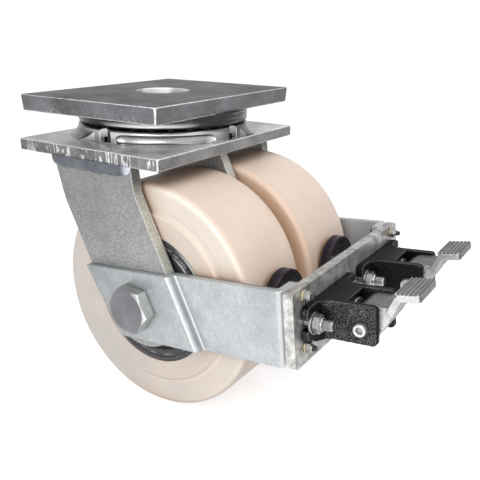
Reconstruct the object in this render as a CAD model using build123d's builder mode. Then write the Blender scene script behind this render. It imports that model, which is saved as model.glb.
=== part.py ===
from build123d import *
import math
import os

# Twin-wheel swivel castor with two foot-operated pad brakes. Millimetres.
# The origin is the swivel axis on the mounting face, +Z up, and the wheels
# trail towards +X. Left is -Y, the side of the axle bolt's head.

# ---- Swivel head ----
top_plate_x = 153.0
top_plate_y = 203.0
top_plate_thickness = 14.0
top_plate_corner = 2.2
top_plate_side_lean = 5.0
plate_edge_break = 0.8
recess_radius = 24.5
race_radius = 78.5
upper_race_height = 11.0
upper_race_rim = 3.0
race_gap = 1.0
lower_race_height = 12.0
lower_race_rim = 3.0
ball_radius = 5.0
ball_pitch_radius = 62.0
ball_count = 24
ball_seat_clearance = 0.05
ball_running_clearance = 0.3
kingpin_radius = 15.0
kingpin_foot_radius = 21.0
kingpin_foot_height = 5.0
kingpin_thread_radius = 12.0
kingpin_end_depth = 5.0
kingpin_washer_radius = 21.0
kingpin_washer_thickness = 1.6
kingpin_washer_lift = 0.2
kingpin_nut_across_flats = 36.0
kingpin_nut_height = 6.6
lower_plate_ledge = 1.5
lower_plate_y = 210.0
lower_plate_thickness = 10.0
lower_plate_corner = 1.5
lower_plate_worn_corner = 4.0

# ---- Foot of the lower race ----
flare_top_depth = 3.4
flare_reach = 8.0
flare_hollow = 0.8
flare_gap_angle = 9.7
flare_end_direction = 76.0
foot_lip_height = 1.0
cove_radius = 4.8
cove_proud = 1.0
cove_depth = 8.2
cove_end_length = 10.0
cove_first_angle = 15.0
cove_last_angle = 67.0
notch_half_width = 7.0
notch_depth = 3.5
notch_hole_radius = 3.2
notch_hole_height = 5.0

# ---- Wheels, bearings and axle ----
axle_x = 57.0
axle_z = -163.0
axle_radius = 12.0
wheel_radius = 100.0
tread_width = 80.0
tread_edge_radius = 5.0
wheel_pitch_y = 50.0
hub_face_proud = 2.0
hub_face_radius = 74.5
cap_radius = 58.0
cap_bore_radius = 24.0
cap_thickness = 4.5
cap_rim_width = 4.0
cap_groove_width = 2.4
cap_groove_depth = 1.5
cap_ring_width = 3.4
cap_ring_drop = 0.6
cap_dish_width = 2.4
bearing_outer_radius = 36.0
bearing_race_radius = 21.0
bearing_width = 19.0
bearing_shoulder_radius = 30.0
inner_tube_radius = 19.0
spacer_radius = 20.5

# ---- Fork ----
leg_inner_y = 94.0
leg_thickness = 10.0
leg_end_radius = 39.0
leg_slant = 26.6
leg_top_rear_x = 51.0
leg_top_front_x = -36.0
leg_bend_rear_z = -70.0
leg_bend_front_z = -85.0
leg_bend_rear_radius = 20.0
leg_bend_front_radius = 60.0
centre_leg_thickness = 10.0
centre_leg_end_radius = 60.0
centre_leg_top_front_x = -6.0
centre_leg_top_rear_x = 66.5
weld_height = 8.5
weld_depth = 2.6
weld_overhang = 1.5

# ---- Brake frame ----
arm_tilt = 5.5
arm_sheet = 7.0
arm_height = 60.0
arm_front_u = -53.0
arm_front_low_u = -22.0
arm_front_corner = 9.0
arm_leg_gap = 0.5
arm_joggle_radius = 4.0
arm_rear_u = 137.0
arm_rear_bend_radius = 8.5
arm_flange_inner_y = 80.0
cross_plate_thickness = 8.0
cross_plate_corner = 4.0
frame_bolt_y = 88.0
frame_bolt_middle_v = 3.35
frame_bolt_spread = 20.15
frame_bolt_radius = 3.0
frame_bolt_across_flats = 10.0
frame_bolt_head = 4.0
frame_nut_height = 5.0
frame_washer_radius = 5.2
frame_washer_thickness = 1.6
frame_bolt_end = 3.0

# ---- Axle bolt and nut ----
axle_across_flats = 36.0
axle_head_height = 12.5
axle_nut_height = 21.5
axle_head_turn = 55.6
axle_thread_end = 5.0

# ---- Brake units ----
unit_ear_half_width = 44.0
unit_ear_thickness = 6.5
unit_ear_half_height = 13.8
unit_ear_corner = 5.0
unit_half_width = 21.0
unit_half_height = 15.6
unit_rear_u = 194.3
unit_nose_radius = 3.0
unit_cheek_corner = 4.0
unit_flare_radius = 9.0
unit_slot_half_width = 15.5
unit_slot_front_u = 169.5
stud_offset = 36.0
stud_v = 2.5
stud_radius = 4.0
stud_slot_half_width = 4.6
stud_pocket_radius = 15.5
stud_pocket_length = 17.0
stud_washer_radius = 8.5
stud_washer_thickness = 1.5
stud_nut_across_flats = 13.0
stud_nut_height = 6.5
stud_end = 6.6
stud_head_height = 5.3
pivot_u = 182.0
pivot_v = -3.0
pivot_radius = 4.0
pivot_washer_radius = 5.9
pivot_washer_thickness = 0.8
pivot_head_radius = 4.9
pivot_head_height = 3.6
pivot_socket_across_flats = 5.0
pivot_socket_depth = 2.2

# ---- Pads and plungers ----
pad_radius = 26.5
pad_rest_gap = 2.3
pad_thickness = 6.7
pad_backing_thickness = 2.8
plunger_radius = 8.0
plunger_head_radius = 12.0
plunger_head_thickness = 8.0

# ---- Levers ----
lever_half_width = 15.0
cam_base_radius = 4.8
cam_rest_length = 10.0
cam_gap = 0.3
cam_last_angle = 30.0
foot_pad_half_width = 19.0
foot_pad_front_u = 206.3
foot_pad_rear_u = 224.5
foot_pad_thickness = 5.5
foot_pad_top_v = 28.3
foot_pad_rise = 5.0
foot_ridge_count = 6
foot_ridge_pitch = 3.1
foot_ridge_radius = 1.1
foot_pad_drop = 1.7

# Corners of the lever's side view, measured from the pivot along u and v.
lever_hub_low = (0.5, -12.5)
lever_hub_low_middle = (-3.6, -12.1)
lever_hub_rear_middle = (7.4, -10.2)
lever_hub_rear = (11.0, -6.0)
lever_heel = (19.5, 6.5)
lever_heel_top = (21.0, 11.1)
lever_hub_top_rear = (18.6, 16.8)
lever_hub_top = (1.0, 16.2)
lever_hub_front_middle = (-6.9, 12.4)
lever_cam_top = 5.0
lever_neck_low_front = (17.5, 14.8)
lever_neck_low_rear = (22.3, 10.6)
# The neck runs up into the pedal this far behind the pedal's front edge.
lever_neck_into_pedal = 5.5
lever_neck_below_pedal = 0.4

# ---- Fits ----
seat_clearance = 0.05
running_clearance = 0.08
hole_clearance = 0.25

# ---- Levels and points that follow from the sizes ----
lower_plate_x = 2 * (race_radius + lower_plate_ledge)
plate_under_z = -top_plate_thickness
upper_race_under_z = plate_under_z - upper_race_height
lower_race_top_z = upper_race_under_z - race_gap
lower_plate_top_z = lower_race_top_z - lower_race_height
lower_plate_under_z = lower_plate_top_z - lower_plate_thickness
ball_z = (upper_race_under_z + lower_race_top_z) / 2
leg_outer_y = leg_inner_y + leg_thickness
arm_outer_y = leg_outer_y + arm_sheet
cross_front_u = arm_rear_u
cross_rear_u = arm_rear_u + cross_plate_thickness
ear_rear_u = cross_rear_u + unit_ear_thickness
pad_front_u = wheel_radius + pad_rest_gap
pad_back_u = pad_front_u + pad_thickness
backing_back_u = pad_back_u + pad_backing_thickness
plunger_rear_u = pivot_u - cam_rest_length - cam_gap
plunger_head_front_u = plunger_rear_u - plunger_head_thickness
frame_bolt_levels = (frame_bolt_middle_v + frame_bolt_spread, frame_bolt_middle_v - frame_bolt_spread)
wheel_face = tread_width / 2 + hub_face_proud
cap_seat = wheel_face - cap_thickness
bearing_inner_face = cap_seat - bearing_width

# Leg edges lean by leg_slant, so their normal points up and to the rear.
slant = math.radians(leg_slant)
normal_x = math.cos(slant)
normal_z = math.sin(slant)
axle_along_normal = normal_x * axle_x + normal_z * axle_z

# Axes of the brake frame: u runs to the rear along the arms, v runs up.
tilt = math.radians(arm_tilt)
u_direction = Vector(math.cos(tilt), 0, math.sin(tilt))
v_direction = Vector(-math.sin(tilt), 0, math.cos(tilt))
axle_point = Vector(axle_x, 0, axle_z)
axle_axis = Axis(axle_point, (0, 1, 0))

# Sketch x is Y and sketch y is the radius, for turned parts on the axle.
turning_plane = Plane(origin=axle_point, x_dir=(0, 1, 0), z_dir=(1, 0, 0))
# Sketch x is u and sketch y is Y, seen from above the arms.
arm_plan = Plane(origin=axle_point, x_dir=u_direction, z_dir=v_direction)
# Sketch x is the distance from the axle square to the leg edges, y is Y.
leg_edge_plan = Plane(
    origin=axle_point,
    x_dir=(normal_x, 0, normal_z),
    z_dir=(-normal_z, 0, normal_x),
)

sides = ((-1, "left"), (1, "right"))
os.makedirs("parts", exist_ok=True)


def fork_side(y):
    """Upright plane at this y, sketch x along X and sketch y along Z."""
    return Plane(origin=(0, y, 0), x_dir=(1, 0, 0), z_dir=(0, -1, 0))


def arm_side(y):
    """Upright plane at this y through the axle, sketched in u and v."""
    origin = axle_point + Vector(0, y, 0)
    return Plane(origin=origin, x_dir=u_direction, z_dir=(0, -1, 0))


def across(u):
    """Plane square to the arms at this u, sketch x along Y, y along v."""
    origin = axle_point + u_direction * u
    return Plane(origin=origin, x_dir=(0, 1, 0), z_dir=u_direction)


def leg_edge_x(z, reach):
    """X of the slanted edge that lies reach beyond the axle, at this z."""
    return (axle_along_normal + reach - normal_z * z) / normal_x


def write(piece, name):
    """Label a finished piece and write its STEP file."""
    piece.part.label = name
    export_step(piece.part, f"parts/{name}.step")


# ---------------------------------------------------------------- head
with BuildPart() as top_plate:
    with BuildSketch(Plane.XY):
        RectangleRounded(top_plate_x, top_plate_y, top_plate_corner)
    extrude(amount=-top_plate_thickness, taper=top_plate_side_lean)
    chamfer(faces().sort_by(Axis.Z)[-1].edges(), plate_edge_break)
    chamfer(faces().sort_by(Axis.Z)[0].edges(), plate_edge_break)
    Hole(recess_radius)
    chamfer(edges().filter_by(GeomType.CIRCLE).sort_by(Axis.Z)[-1], plate_edge_break)
write(top_plate, "top_plate")

with BuildPart() as upper_race:
    with BuildSketch(Plane.XY.offset(upper_race_under_z)):
        Circle(race_radius)
        Circle(kingpin_radius + running_clearance, mode=Mode.SUBTRACT)
    extrude(amount=upper_race_height)
    rim = edges().filter_by(GeomType.CIRCLE).group_by(Axis.Z)[0].sort_by(SortBy.RADIUS)[-1]
    fillet(rim, upper_race_rim)
    with BuildSketch(Plane.XZ):
        with Locations((ball_pitch_radius, ball_z)):
            Circle(ball_radius + ball_running_clearance)
    revolve(axis=Axis.Z, mode=Mode.SUBTRACT)
write(upper_race, "upper_race")

with BuildPart() as lower_race:
    flare_top_z = lower_race_top_z - flare_top_depth
    flare_drop = flare_top_z - lower_plate_top_z
    flare_radius = race_radius + flare_reach
    with BuildSketch(Plane.XZ):
        with BuildLine():
            Polyline(
                (race_radius, flare_top_z),
                (race_radius, lower_race_top_z),
                (kingpin_radius + seat_clearance, lower_race_top_z),
                (kingpin_radius + seat_clearance, lower_plate_top_z),
                (flare_radius, lower_plate_top_z),
            )
            flare_middle = (
                race_radius + flare_reach / 2 - flare_hollow,
                lower_plate_top_z + flare_drop / 2 - flare_hollow,
            )
            ThreePointArc((flare_radius, lower_plate_top_z), flare_middle, (race_radius, flare_top_z))
        make_face()
    revolve(axis=Axis.Z)
    # The flare keeps inside the plate that it is forged onto, and is left on
    # two opposite quarters of the ring, with ends that slant away from it.
    with BuildSketch(Plane.XY.offset(lower_plate_top_z)):
        Rectangle(lower_plate_x - 2 * plate_edge_break, lower_plate_y - 2 * plate_edge_break)
    extrude(amount=lower_race_height, mode=Mode.INTERSECT)
    with BuildSketch(Plane.XY.offset(lower_plate_top_z)):
        end_foot = Vector(race_radius, 0, 0).rotate(Axis.Z, flare_gap_angle)
        end_run = Vector(2 * flare_radius, 0, 0).rotate(Axis.Z, flare_end_direction)
        end_far = end_foot + end_run
        with PolarLocations(0, 2):
            Polygon(
                (end_foot.X, end_foot.Y),
                (end_far.X, end_far.Y),
                (end_far.Y, -end_far.Y),
                (-end_far.Y, -end_far.X),
                (-end_foot.Y, -end_foot.X),
                align=None,
            )
        Circle(race_radius, mode=Mode.SUBTRACT)
    extrude(amount=lower_race_height, mode=Mode.SUBTRACT)
    top_rim = edges().filter_by(GeomType.CIRCLE).group_by(Axis.Z)[-1].sort_by(SortBy.RADIUS)[-1]
    fillet(top_rim, lower_race_rim)
    with BuildSketch(Plane.XY.offset(lower_plate_top_z)):
        with PolarLocations(race_radius - notch_depth, 4):
            Polygon(
                (0, 0),
                (2 * notch_depth, -2 * notch_half_width),
                (2 * notch_depth, 2 * notch_half_width),
                align=None,
            )
    extrude(amount=lower_race_height, mode=Mode.SUBTRACT)
    with BuildSketch(Plane.XY.offset(lower_plate_top_z)):
        with PolarLocations(race_radius - notch_depth, 4):
            Circle(notch_hole_radius)
    extrude(amount=notch_hole_height, mode=Mode.SUBTRACT)
    # A low lip at the foot runs on under the notches.
    with BuildSketch(Plane.XY.offset(lower_plate_top_z)):
        Circle(race_radius + lower_plate_ledge - plate_edge_break)
        Circle(race_radius - notch_depth - notch_hole_radius, mode=Mode.SUBTRACT)
    extrude(amount=foot_lip_height)
    # The other two quarters have a cove with long round ends.
    cove_z = lower_race_top_z - cove_depth
    cove_centre = race_radius + cove_proud
    for quarter_start in (90, 270):
        start_direction = Vector(1, 0, 0).rotate(Axis.Z, quarter_start + cove_first_angle)
        end_direction = Vector(1, 0, 0).rotate(Axis.Z, quarter_start + cove_last_angle)
        across_start = Plane(
            origin=(0, 0, cove_z),
            x_dir=start_direction,
            z_dir=start_direction.cross(Vector(0, 0, 1)),
        )
        with BuildSketch(across_start):
            with Locations((cove_centre, 0)):
                Circle(cove_radius)
        revolve(
            axis=Axis.Z,
            revolution_arc=cove_last_angle - cove_first_angle,
            mode=Mode.SUBTRACT,
        )
        for direction in (start_direction, end_direction):
            tangent = Vector(0, 0, 1).cross(direction)
            along_end = Plane(
                origin=direction * cove_centre + Vector(0, 0, cove_z),
                x_dir=tangent,
                z_dir=(0, 0, 1),
            )
            with BuildSketch(along_end):
                Ellipse(cove_end_length, cove_radius)
                Rectangle(
                    2 * cove_end_length,
                    cove_radius,
                    align=(Align.CENTER, Align.MIN),
                    mode=Mode.INTERSECT,
                )
            revolve(axis=Axis(along_end.origin, tangent), mode=Mode.SUBTRACT)
    with BuildSketch(Plane.XZ):
        with Locations((ball_pitch_radius, ball_z)):
            Circle(ball_radius + ball_seat_clearance)
    revolve(axis=Axis.Z, mode=Mode.SUBTRACT)
write(lower_race, "lower_race")

with BuildPart() as race_balls:
    with Locations(Plane.XY.offset(ball_z)):
        with PolarLocations(ball_pitch_radius, ball_count):
            Sphere(ball_radius)
write(race_balls, "race_balls")

with BuildPart() as kingpin:
    shoulder_z = plate_under_z + kingpin_washer_lift
    with BuildSketch(Plane.XZ):
        with BuildLine():
            Polyline(
                (0, lower_plate_under_z),
                (kingpin_foot_radius, lower_plate_under_z),
                (kingpin_foot_radius, lower_plate_under_z + kingpin_foot_height),
                (kingpin_radius, lower_plate_under_z + kingpin_foot_height),
                (kingpin_radius, shoulder_z),
                (kingpin_thread_radius, shoulder_z),
                (kingpin_thread_radius, -kingpin_end_depth - plate_edge_break),
                (kingpin_thread_radius - plate_edge_break, -kingpin_end_depth),
                (0, -kingpin_end_depth),
                close=True,
            )
        make_face()
    revolve(axis=Axis.Z)
write(kingpin, "kingpin")

with BuildPart() as kingpin_washer:
    with BuildSketch(Plane.XY.offset(shoulder_z)):
        Circle(kingpin_washer_radius)
        Circle(kingpin_thread_radius + seat_clearance, mode=Mode.SUBTRACT)
    extrude(amount=kingpin_washer_thickness)
write(kingpin_washer, "kingpin_washer")

with BuildPart() as kingpin_nut:
    with BuildSketch(Plane.XY.offset(shoulder_z + kingpin_washer_thickness)):
        RegularPolygon(kingpin_nut_across_flats / 2, 6, major_radius=False)
        Circle(kingpin_thread_radius + seat_clearance, mode=Mode.SUBTRACT)
    extrude(amount=kingpin_nut_height)
write(kingpin_nut, "kingpin_nut")

with BuildPart() as lower_plate:
    with BuildSketch(Plane.XY.offset(lower_plate_under_z)):
        Rectangle(lower_plate_x, lower_plate_y)
        worn_corner = vertices().group_by(Axis.X)[0].sort_by(Axis.Y)[0]
        square_corners = [corner for corner in vertices() if corner != worn_corner]
        fillet(square_corners, lower_plate_corner)
        worn_corner = vertices().group_by(Axis.X)[0].sort_by(Axis.Y)[0]
        fillet(worn_corner, lower_plate_worn_corner)
        Circle(kingpin_radius + seat_clearance, mode=Mode.SUBTRACT)
    extrude(amount=lower_plate_thickness)
    with BuildSketch(Plane.XY.offset(lower_plate_under_z)):
        Circle(kingpin_foot_radius + seat_clearance)
    extrude(amount=kingpin_foot_height, mode=Mode.SUBTRACT)
write(lower_plate, "lower_plate")


# ---------------------------------------------------------------- fork
def leg_profile(end_radius, front_points, rear_points, bends=()):
    """Leg outline: its front and rear edges run tangent into the round end at the axle.

    bends holds the corners to round, each with its radius.
    """

    def end_angle(point, turn):
        away = (point[0] - axle_x, point[1] - axle_z)
        return math.atan2(away[1], away[0]) + turn * math.acos(end_radius / math.hypot(*away))

    def end_point(angle):
        return (axle_x + end_radius * math.cos(angle), axle_z + end_radius * math.sin(angle))

    rear_angle = end_angle(rear_points[0], -1)
    front_angle = end_angle(front_points[0], 1) - 2 * math.pi
    with BuildSketch() as profile:
        with BuildLine():
            Polyline(end_point(front_angle), *front_points, *reversed(rear_points), end_point(rear_angle))
            ThreePointArc(
                end_point(rear_angle),
                end_point((rear_angle + front_angle) / 2),
                end_point(front_angle),
            )
        make_face()
        for corner, radius in bends:
            fillet(vertices().sort_by_distance(corner)[0], radius)
        with Locations((axle_x, axle_z)):
            Circle(axle_radius + hole_clearance, mode=Mode.SUBTRACT)
    return profile.sketch


# Each outer leg is bent twice on its way up to the lower plate.
front_bend = (leg_edge_x(leg_bend_front_z, -leg_end_radius), leg_bend_front_z)
rear_bend = (leg_edge_x(leg_bend_rear_z, leg_end_radius), leg_bend_rear_z)
front_points = [front_bend, (leg_top_front_x, lower_plate_under_z)]
rear_points = [rear_bend, (leg_top_rear_x, lower_plate_under_z)]
bends = [(rear_bend, leg_bend_rear_radius), (front_bend, leg_bend_front_radius)]
for side, name in sides:
    outward = -side * leg_thickness
    with BuildPart() as leg:
        with BuildSketch(fork_side(side * leg_inner_y)):
            add(leg_profile(leg_end_radius, front_points, rear_points, bends))
        extrude(amount=outward)
    write(leg, f"leg_{name}")

with BuildPart() as centre_leg:
    with BuildSketch(fork_side(0)):
        add(
            leg_profile(
                centre_leg_end_radius,
                [(centre_leg_top_front_x, lower_plate_under_z)],
                [(centre_leg_top_rear_x, lower_plate_under_z)],
            )
        )
    extrude(amount=centre_leg_thickness / 2, both=True)
write(centre_leg, "centre_leg")

# Fillet welds under the lower plate, along each leg's outer face and along
# both faces of the centre leg.
with BuildPart() as leg_welds:
    weld_low_z = lower_plate_under_z - weld_height
    for side, name in sides:
        weld_face_y = side * leg_outer_y
        weld_outer_y = side * (lower_plate_y / 2 + weld_overhang)
        with BuildSketch(Plane.YZ.offset(leg_top_front_x)):
            Polygon(
                (weld_face_y, lower_plate_under_z),
                (weld_outer_y, lower_plate_under_z),
                (weld_outer_y - side * weld_overhang / 2, weld_low_z + weld_height / 2),
                (weld_face_y, weld_low_z),
                align=None,
            )
        extrude(amount=leg_top_rear_x - leg_top_front_x)
    for side, name in sides:
        centre_face_y = side * centre_leg_thickness / 2
        with BuildSketch(Plane.YZ.offset(centre_leg_top_front_x)):
            Polygon(
                (centre_face_y, lower_plate_under_z),
                (centre_face_y + side * weld_depth, lower_plate_under_z),
                (centre_face_y, lower_plate_under_z - weld_depth),
                align=None,
            )
        extrude(amount=centre_leg_top_rear_x - centre_leg_top_front_x)
write(leg_welds, "leg_welds")

# ------------------------------------------------------ axle and bearings
with BuildPart() as axle_bolt:
    shank_end_y = arm_outer_y + axle_nut_height + axle_thread_end
    with BuildSketch(fork_side(-arm_outer_y)):
        with Locations((axle_x, axle_z)):
            RegularPolygon(axle_across_flats / 2, 6, major_radius=False, rotation=axle_head_turn)
    extrude(amount=axle_head_height)
    # The corners of the head are turned down at 30 degrees.
    corner_radius = axle_across_flats / math.sqrt(3)
    corner_drop = (corner_radius - axle_across_flats / 2) * math.tan(math.radians(30))
    with BuildSketch(turning_plane):
        head_outer_y = -arm_outer_y - axle_head_height
        Polygon(
            (head_outer_y, axle_across_flats / 2 - plate_edge_break),
            (head_outer_y, corner_radius + 1),
            (head_outer_y + 2 * corner_drop, corner_radius + 1),
            align=None,
        )
    revolve(axis=axle_axis, mode=Mode.SUBTRACT)
    with BuildSketch(fork_side(-arm_outer_y)):
        with Locations((axle_x, axle_z)):
            Circle(axle_radius)
    extrude(amount=-arm_outer_y - shank_end_y)
    chamfer(edges().filter_by(GeomType.CIRCLE).sort_by(Axis.Y)[-1], axle_radius / 10)
write(axle_bolt, "axle_bolt")

with BuildPart() as axle_nut:
    with BuildSketch(fork_side(arm_outer_y)):
        with Locations((axle_x, axle_z)):
            RegularPolygon(axle_across_flats / 2, 6, major_radius=False)
            Circle(axle_radius + seat_clearance, mode=Mode.SUBTRACT)
    extrude(amount=-axle_nut_height)
write(axle_nut, "axle_nut")


def tube(y_from, y_to, outer_radius, inner_radius):
    """Tube on the axle between two y values, added to the open part."""
    with BuildSketch(turning_plane) as wall:
        Polygon(
            (y_from, inner_radius),
            (y_from, outer_radius),
            (y_to, outer_radius),
            (y_to, inner_radius),
            align=None,
        )
    revolve(wall.sketch, axis=axle_axis)


axle_bore = axle_radius + seat_clearance
with BuildPart() as bearing_inner_rings:
    ring_radius = bearing_race_radius - running_clearance
    for side, name in sides:
        for bearing_side in (-1, 1):
            near_y = side * wheel_pitch_y + bearing_side * bearing_inner_face
            far_y = side * wheel_pitch_y + bearing_side * cap_seat
            tube(near_y, far_y, ring_radius, axle_bore)
write(bearing_inner_rings, "bearing_inner_rings")

with BuildPart() as axle_spacers:
    for side, name in sides:
        wheel_y = side * wheel_pitch_y
        tube(wheel_y - bearing_inner_face, wheel_y + bearing_inner_face, inner_tube_radius, axle_bore)
        tube(wheel_y + side * cap_seat, side * leg_inner_y, spacer_radius, axle_bore)
        tube(side * centre_leg_thickness / 2, wheel_y - side * cap_seat, spacer_radius, axle_bore)
write(axle_spacers, "axle_spacers")

for side, name in sides:
    wheel_y = side * wheel_pitch_y
    with BuildPart() as wheel:
        tread_y = tread_width / 2
        with BuildSketch(turning_plane):
            with BuildLine():
                half_profile = [
                    (bearing_inner_face, bearing_shoulder_radius),
                    (bearing_inner_face, bearing_outer_radius + seat_clearance),
                    (cap_seat, bearing_outer_radius + seat_clearance),
                    (cap_seat, cap_radius + seat_clearance),
                    (wheel_face, cap_radius + seat_clearance),
                    (wheel_face, hub_face_radius),
                    (tread_y, hub_face_radius + hub_face_proud),
                    (tread_y, wheel_radius),
                ]
                outer_half = [(wheel_y + y, radius) for y, radius in half_profile]
                inner_half = [(wheel_y - y, radius) for y, radius in reversed(half_profile)]
                Polyline(*outer_half, *inner_half, close=True)
            make_face()
            fillet(vertices().group_by(Axis.Y)[-1], tread_edge_radius)
        revolve(axis=axle_axis)
    write(wheel, f"wheel_{name}")

    with BuildPart() as bearing_outer_rings:
        for face in (-1, 1):
            tube(
                wheel_y + face * bearing_inner_face,
                wheel_y + face * cap_seat,
                bearing_outer_radius,
                bearing_race_radius,
            )
    write(bearing_outer_rings, f"bearing_outer_rings_{name}")

    # Each cap has a raised rim, a groove, a raised ring and a dished middle.
    with BuildPart() as hub_caps:
        edge_round = cap_thickness / 6
        groove_outer = cap_radius - cap_rim_width
        groove_inner = groove_outer - cap_groove_width
        ring_inner = groove_inner - cap_ring_width
        groove_face = wheel_face - cap_groove_depth
        ring_face = wheel_face - cap_ring_drop
        dish_face = cap_seat + cap_thickness / 3
        for face in (-1, 1):
            with BuildSketch(turning_plane) as cap_section:
                with BuildLine():
                    section = [
                        (cap_seat, cap_bore_radius),
                        (cap_seat, cap_radius),
                        (wheel_face - edge_round, cap_radius),
                        (wheel_face, cap_radius - edge_round),
                        (wheel_face, groove_outer),
                        (groove_face, groove_outer - edge_round),
                        (groove_face, groove_inner + edge_round),
                        (ring_face, groove_inner),
                        (ring_face, ring_inner),
                        (dish_face + edge_round, ring_inner - cap_dish_width),
                        (dish_face, cap_bore_radius),
                    ]
                    Polyline(*[(wheel_y + face * y, radius) for y, radius in section], close=True)
                make_face()
            revolve(cap_section.sketch, axis=axle_axis)
    write(hub_caps, f"hub_caps_{name}")


# ---------------------------------------------------------- brake frame
def drill(points, radius, u_from, u_to):
    """Cut round holes along u through the open part."""
    with BuildSketch(across(u_from)) as holes:
        with Locations(*points):
            Circle(radius)
    extrude(holes.sketch, amount=u_to - u_from, mode=Mode.SUBTRACT)


for side, name in sides:
    outer_stud = (side * (wheel_pitch_y + stud_offset), stud_v)
    frame_bolt_points = [(side * frame_bolt_y, v) for v in frame_bolt_levels]
    with BuildPart() as arm:
        # Two layers of one sheet: outside the leg, then stepped in behind it.
        step_inner = leg_end_radius + arm_leg_gap
        step_outer = step_inner + arm_sheet
        inner_y = leg_outer_y - arm_sheet
        sheet_length = arm_rear_u + arm_height
        with BuildSketch(leg_edge_plan):
            with BuildLine():
                Polyline(
                    (-sheet_length, side * leg_outer_y),
                    (step_inner, side * leg_outer_y),
                    (step_inner, side * inner_y),
                    (sheet_length, side * inner_y),
                    (sheet_length, side * leg_outer_y),
                    (step_outer, side * leg_outer_y),
                    (step_outer, side * arm_outer_y),
                    (-sheet_length, side * arm_outer_y),
                    close=True,
                )
            make_face()
            outer_corner = vertices().sort_by_distance((step_outer, side * arm_outer_y))[0]
            fillet(outer_corner, arm_joggle_radius)
            inner_corner = vertices().sort_by_distance((step_outer, side * leg_outer_y))[0]
            fillet(inner_corner, arm_joggle_radius / 2)
            hidden_corner = vertices().sort_by_distance((step_inner, side * inner_y))[0]
            fillet(hidden_corner, arm_joggle_radius)
        extrude(amount=arm_height * 1.5, both=True)
        bend_start_u = arm_rear_u - 2 * arm_rear_bend_radius
        with BuildSketch(arm_side(0)):
            Polygon(
                (arm_front_u, arm_height / 2),
                (bend_start_u, arm_height / 2),
                (bend_start_u, -arm_height / 2),
                (arm_front_low_u, -arm_height / 2),
                align=None,
            )
            low_corner = vertices().sort_by_distance((arm_front_low_u, -arm_height / 2))[0]
            fillet(low_corner, arm_front_corner)
        extrude(amount=arm_outer_y + arm_sheet, both=True, mode=Mode.INTERSECT)
        # The rear end is bent inward and lies against the cross plate.
        with BuildSketch(arm_plan.offset(-arm_height / 2)):
            with BuildLine():
                Polyline(
                    (bend_start_u, side * leg_outer_y),
                    (arm_rear_u, side * leg_outer_y),
                    (arm_rear_u, side * arm_flange_inner_y),
                    (arm_rear_u - arm_sheet, side * arm_flange_inner_y),
                    (arm_rear_u - arm_sheet, side * inner_y),
                    (bend_start_u, side * inner_y),
                    close=True,
                )
            make_face()
            bend_outer = vertices().sort_by_distance((arm_rear_u, side * leg_outer_y))[0]
            fillet(bend_outer, arm_rear_bend_radius)
            bend_inner = vertices().sort_by_distance((arm_rear_u - arm_sheet, side * inner_y))[0]
            fillet(bend_inner, arm_rear_bend_radius - arm_sheet)
        extrude(amount=arm_height)
        with BuildSketch(arm_side(0)):
            Circle(axle_radius + hole_clearance)
        extrude(amount=arm_outer_y + arm_sheet, both=True, mode=Mode.SUBTRACT)
        drill(frame_bolt_points, frame_bolt_radius + hole_clearance, bend_start_u, cross_front_u)
        drill([outer_stud], stud_radius + hole_clearance, bend_start_u, cross_front_u)
    write(arm, f"brake_arm_{name}")

outer_studs = [(side * (wheel_pitch_y + stud_offset), stud_v) for side in (-1, 1)]
inner_studs = [(side * (wheel_pitch_y - stud_offset), stud_v) for side in (-1, 1)]
every_stud = outer_studs + inner_studs
every_frame_bolt = [(side * frame_bolt_y, v) for side in (-1, 1) for v in frame_bolt_levels]
every_unit = [(side * wheel_pitch_y, 0) for side in (-1, 1)]

with BuildPart() as cross_plate:
    with BuildSketch(across(cross_front_u)):
        RectangleRounded(2 * leg_outer_y, arm_height, cross_plate_corner)
    extrude(amount=cross_plate_thickness)
    drill(every_unit, plunger_radius + 2 * hole_clearance, cross_front_u, cross_rear_u)
    drill(every_stud, stud_radius + hole_clearance, cross_front_u, cross_rear_u)
    drill(every_frame_bolt, frame_bolt_radius + hole_clearance, cross_front_u, cross_rear_u)
write(cross_plate, "cross_plate")


def disc_row(points, u_from, u_to, outer_radius, bore_radius=0.0):
    """Round solids or washers at the points between two u values."""
    with BuildSketch(across(u_from)) as discs:
        with Locations(*points):
            Circle(outer_radius)
            if bore_radius > 0:
                Circle(bore_radius, mode=Mode.SUBTRACT)
    extrude(discs.sketch, amount=u_to - u_from)


def hex_row(points, u_from, u_to, across_flats, bore_radius=0.0):
    """Hexagonal heads or nuts at the points between two u values."""
    with BuildSketch(across(u_from)) as hexagons:
        with Locations(*points):
            RegularPolygon(across_flats / 2, 6, major_radius=False)
            if bore_radius > 0:
                Circle(bore_radius, mode=Mode.SUBTRACT)
    extrude(hexagons.sketch, amount=u_to - u_from)


frame_clamp_front_u = arm_rear_u - arm_sheet
frame_washer_rear_u = cross_rear_u + frame_washer_thickness
frame_nut_rear_u = frame_washer_rear_u + frame_nut_height
with BuildPart() as frame_bolts:
    head_front_u = frame_clamp_front_u - frame_bolt_head
    hex_row(every_frame_bolt, head_front_u, frame_clamp_front_u, frame_bolt_across_flats)
    disc_row(every_frame_bolt, frame_clamp_front_u, frame_nut_rear_u + frame_bolt_end, frame_bolt_radius)
write(frame_bolts, "frame_bolts")

with BuildPart() as frame_washers:
    washer_bore = frame_bolt_radius + seat_clearance
    disc_row(every_frame_bolt, cross_rear_u, frame_washer_rear_u, frame_washer_radius, washer_bore)
write(frame_washers, "frame_washers")

with BuildPart() as frame_nuts:
    nut_bore = frame_bolt_radius + seat_clearance
    hex_row(every_frame_bolt, frame_washer_rear_u, frame_nut_rear_u, frame_bolt_across_flats, nut_bore)
write(frame_nuts, "frame_nuts")

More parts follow.
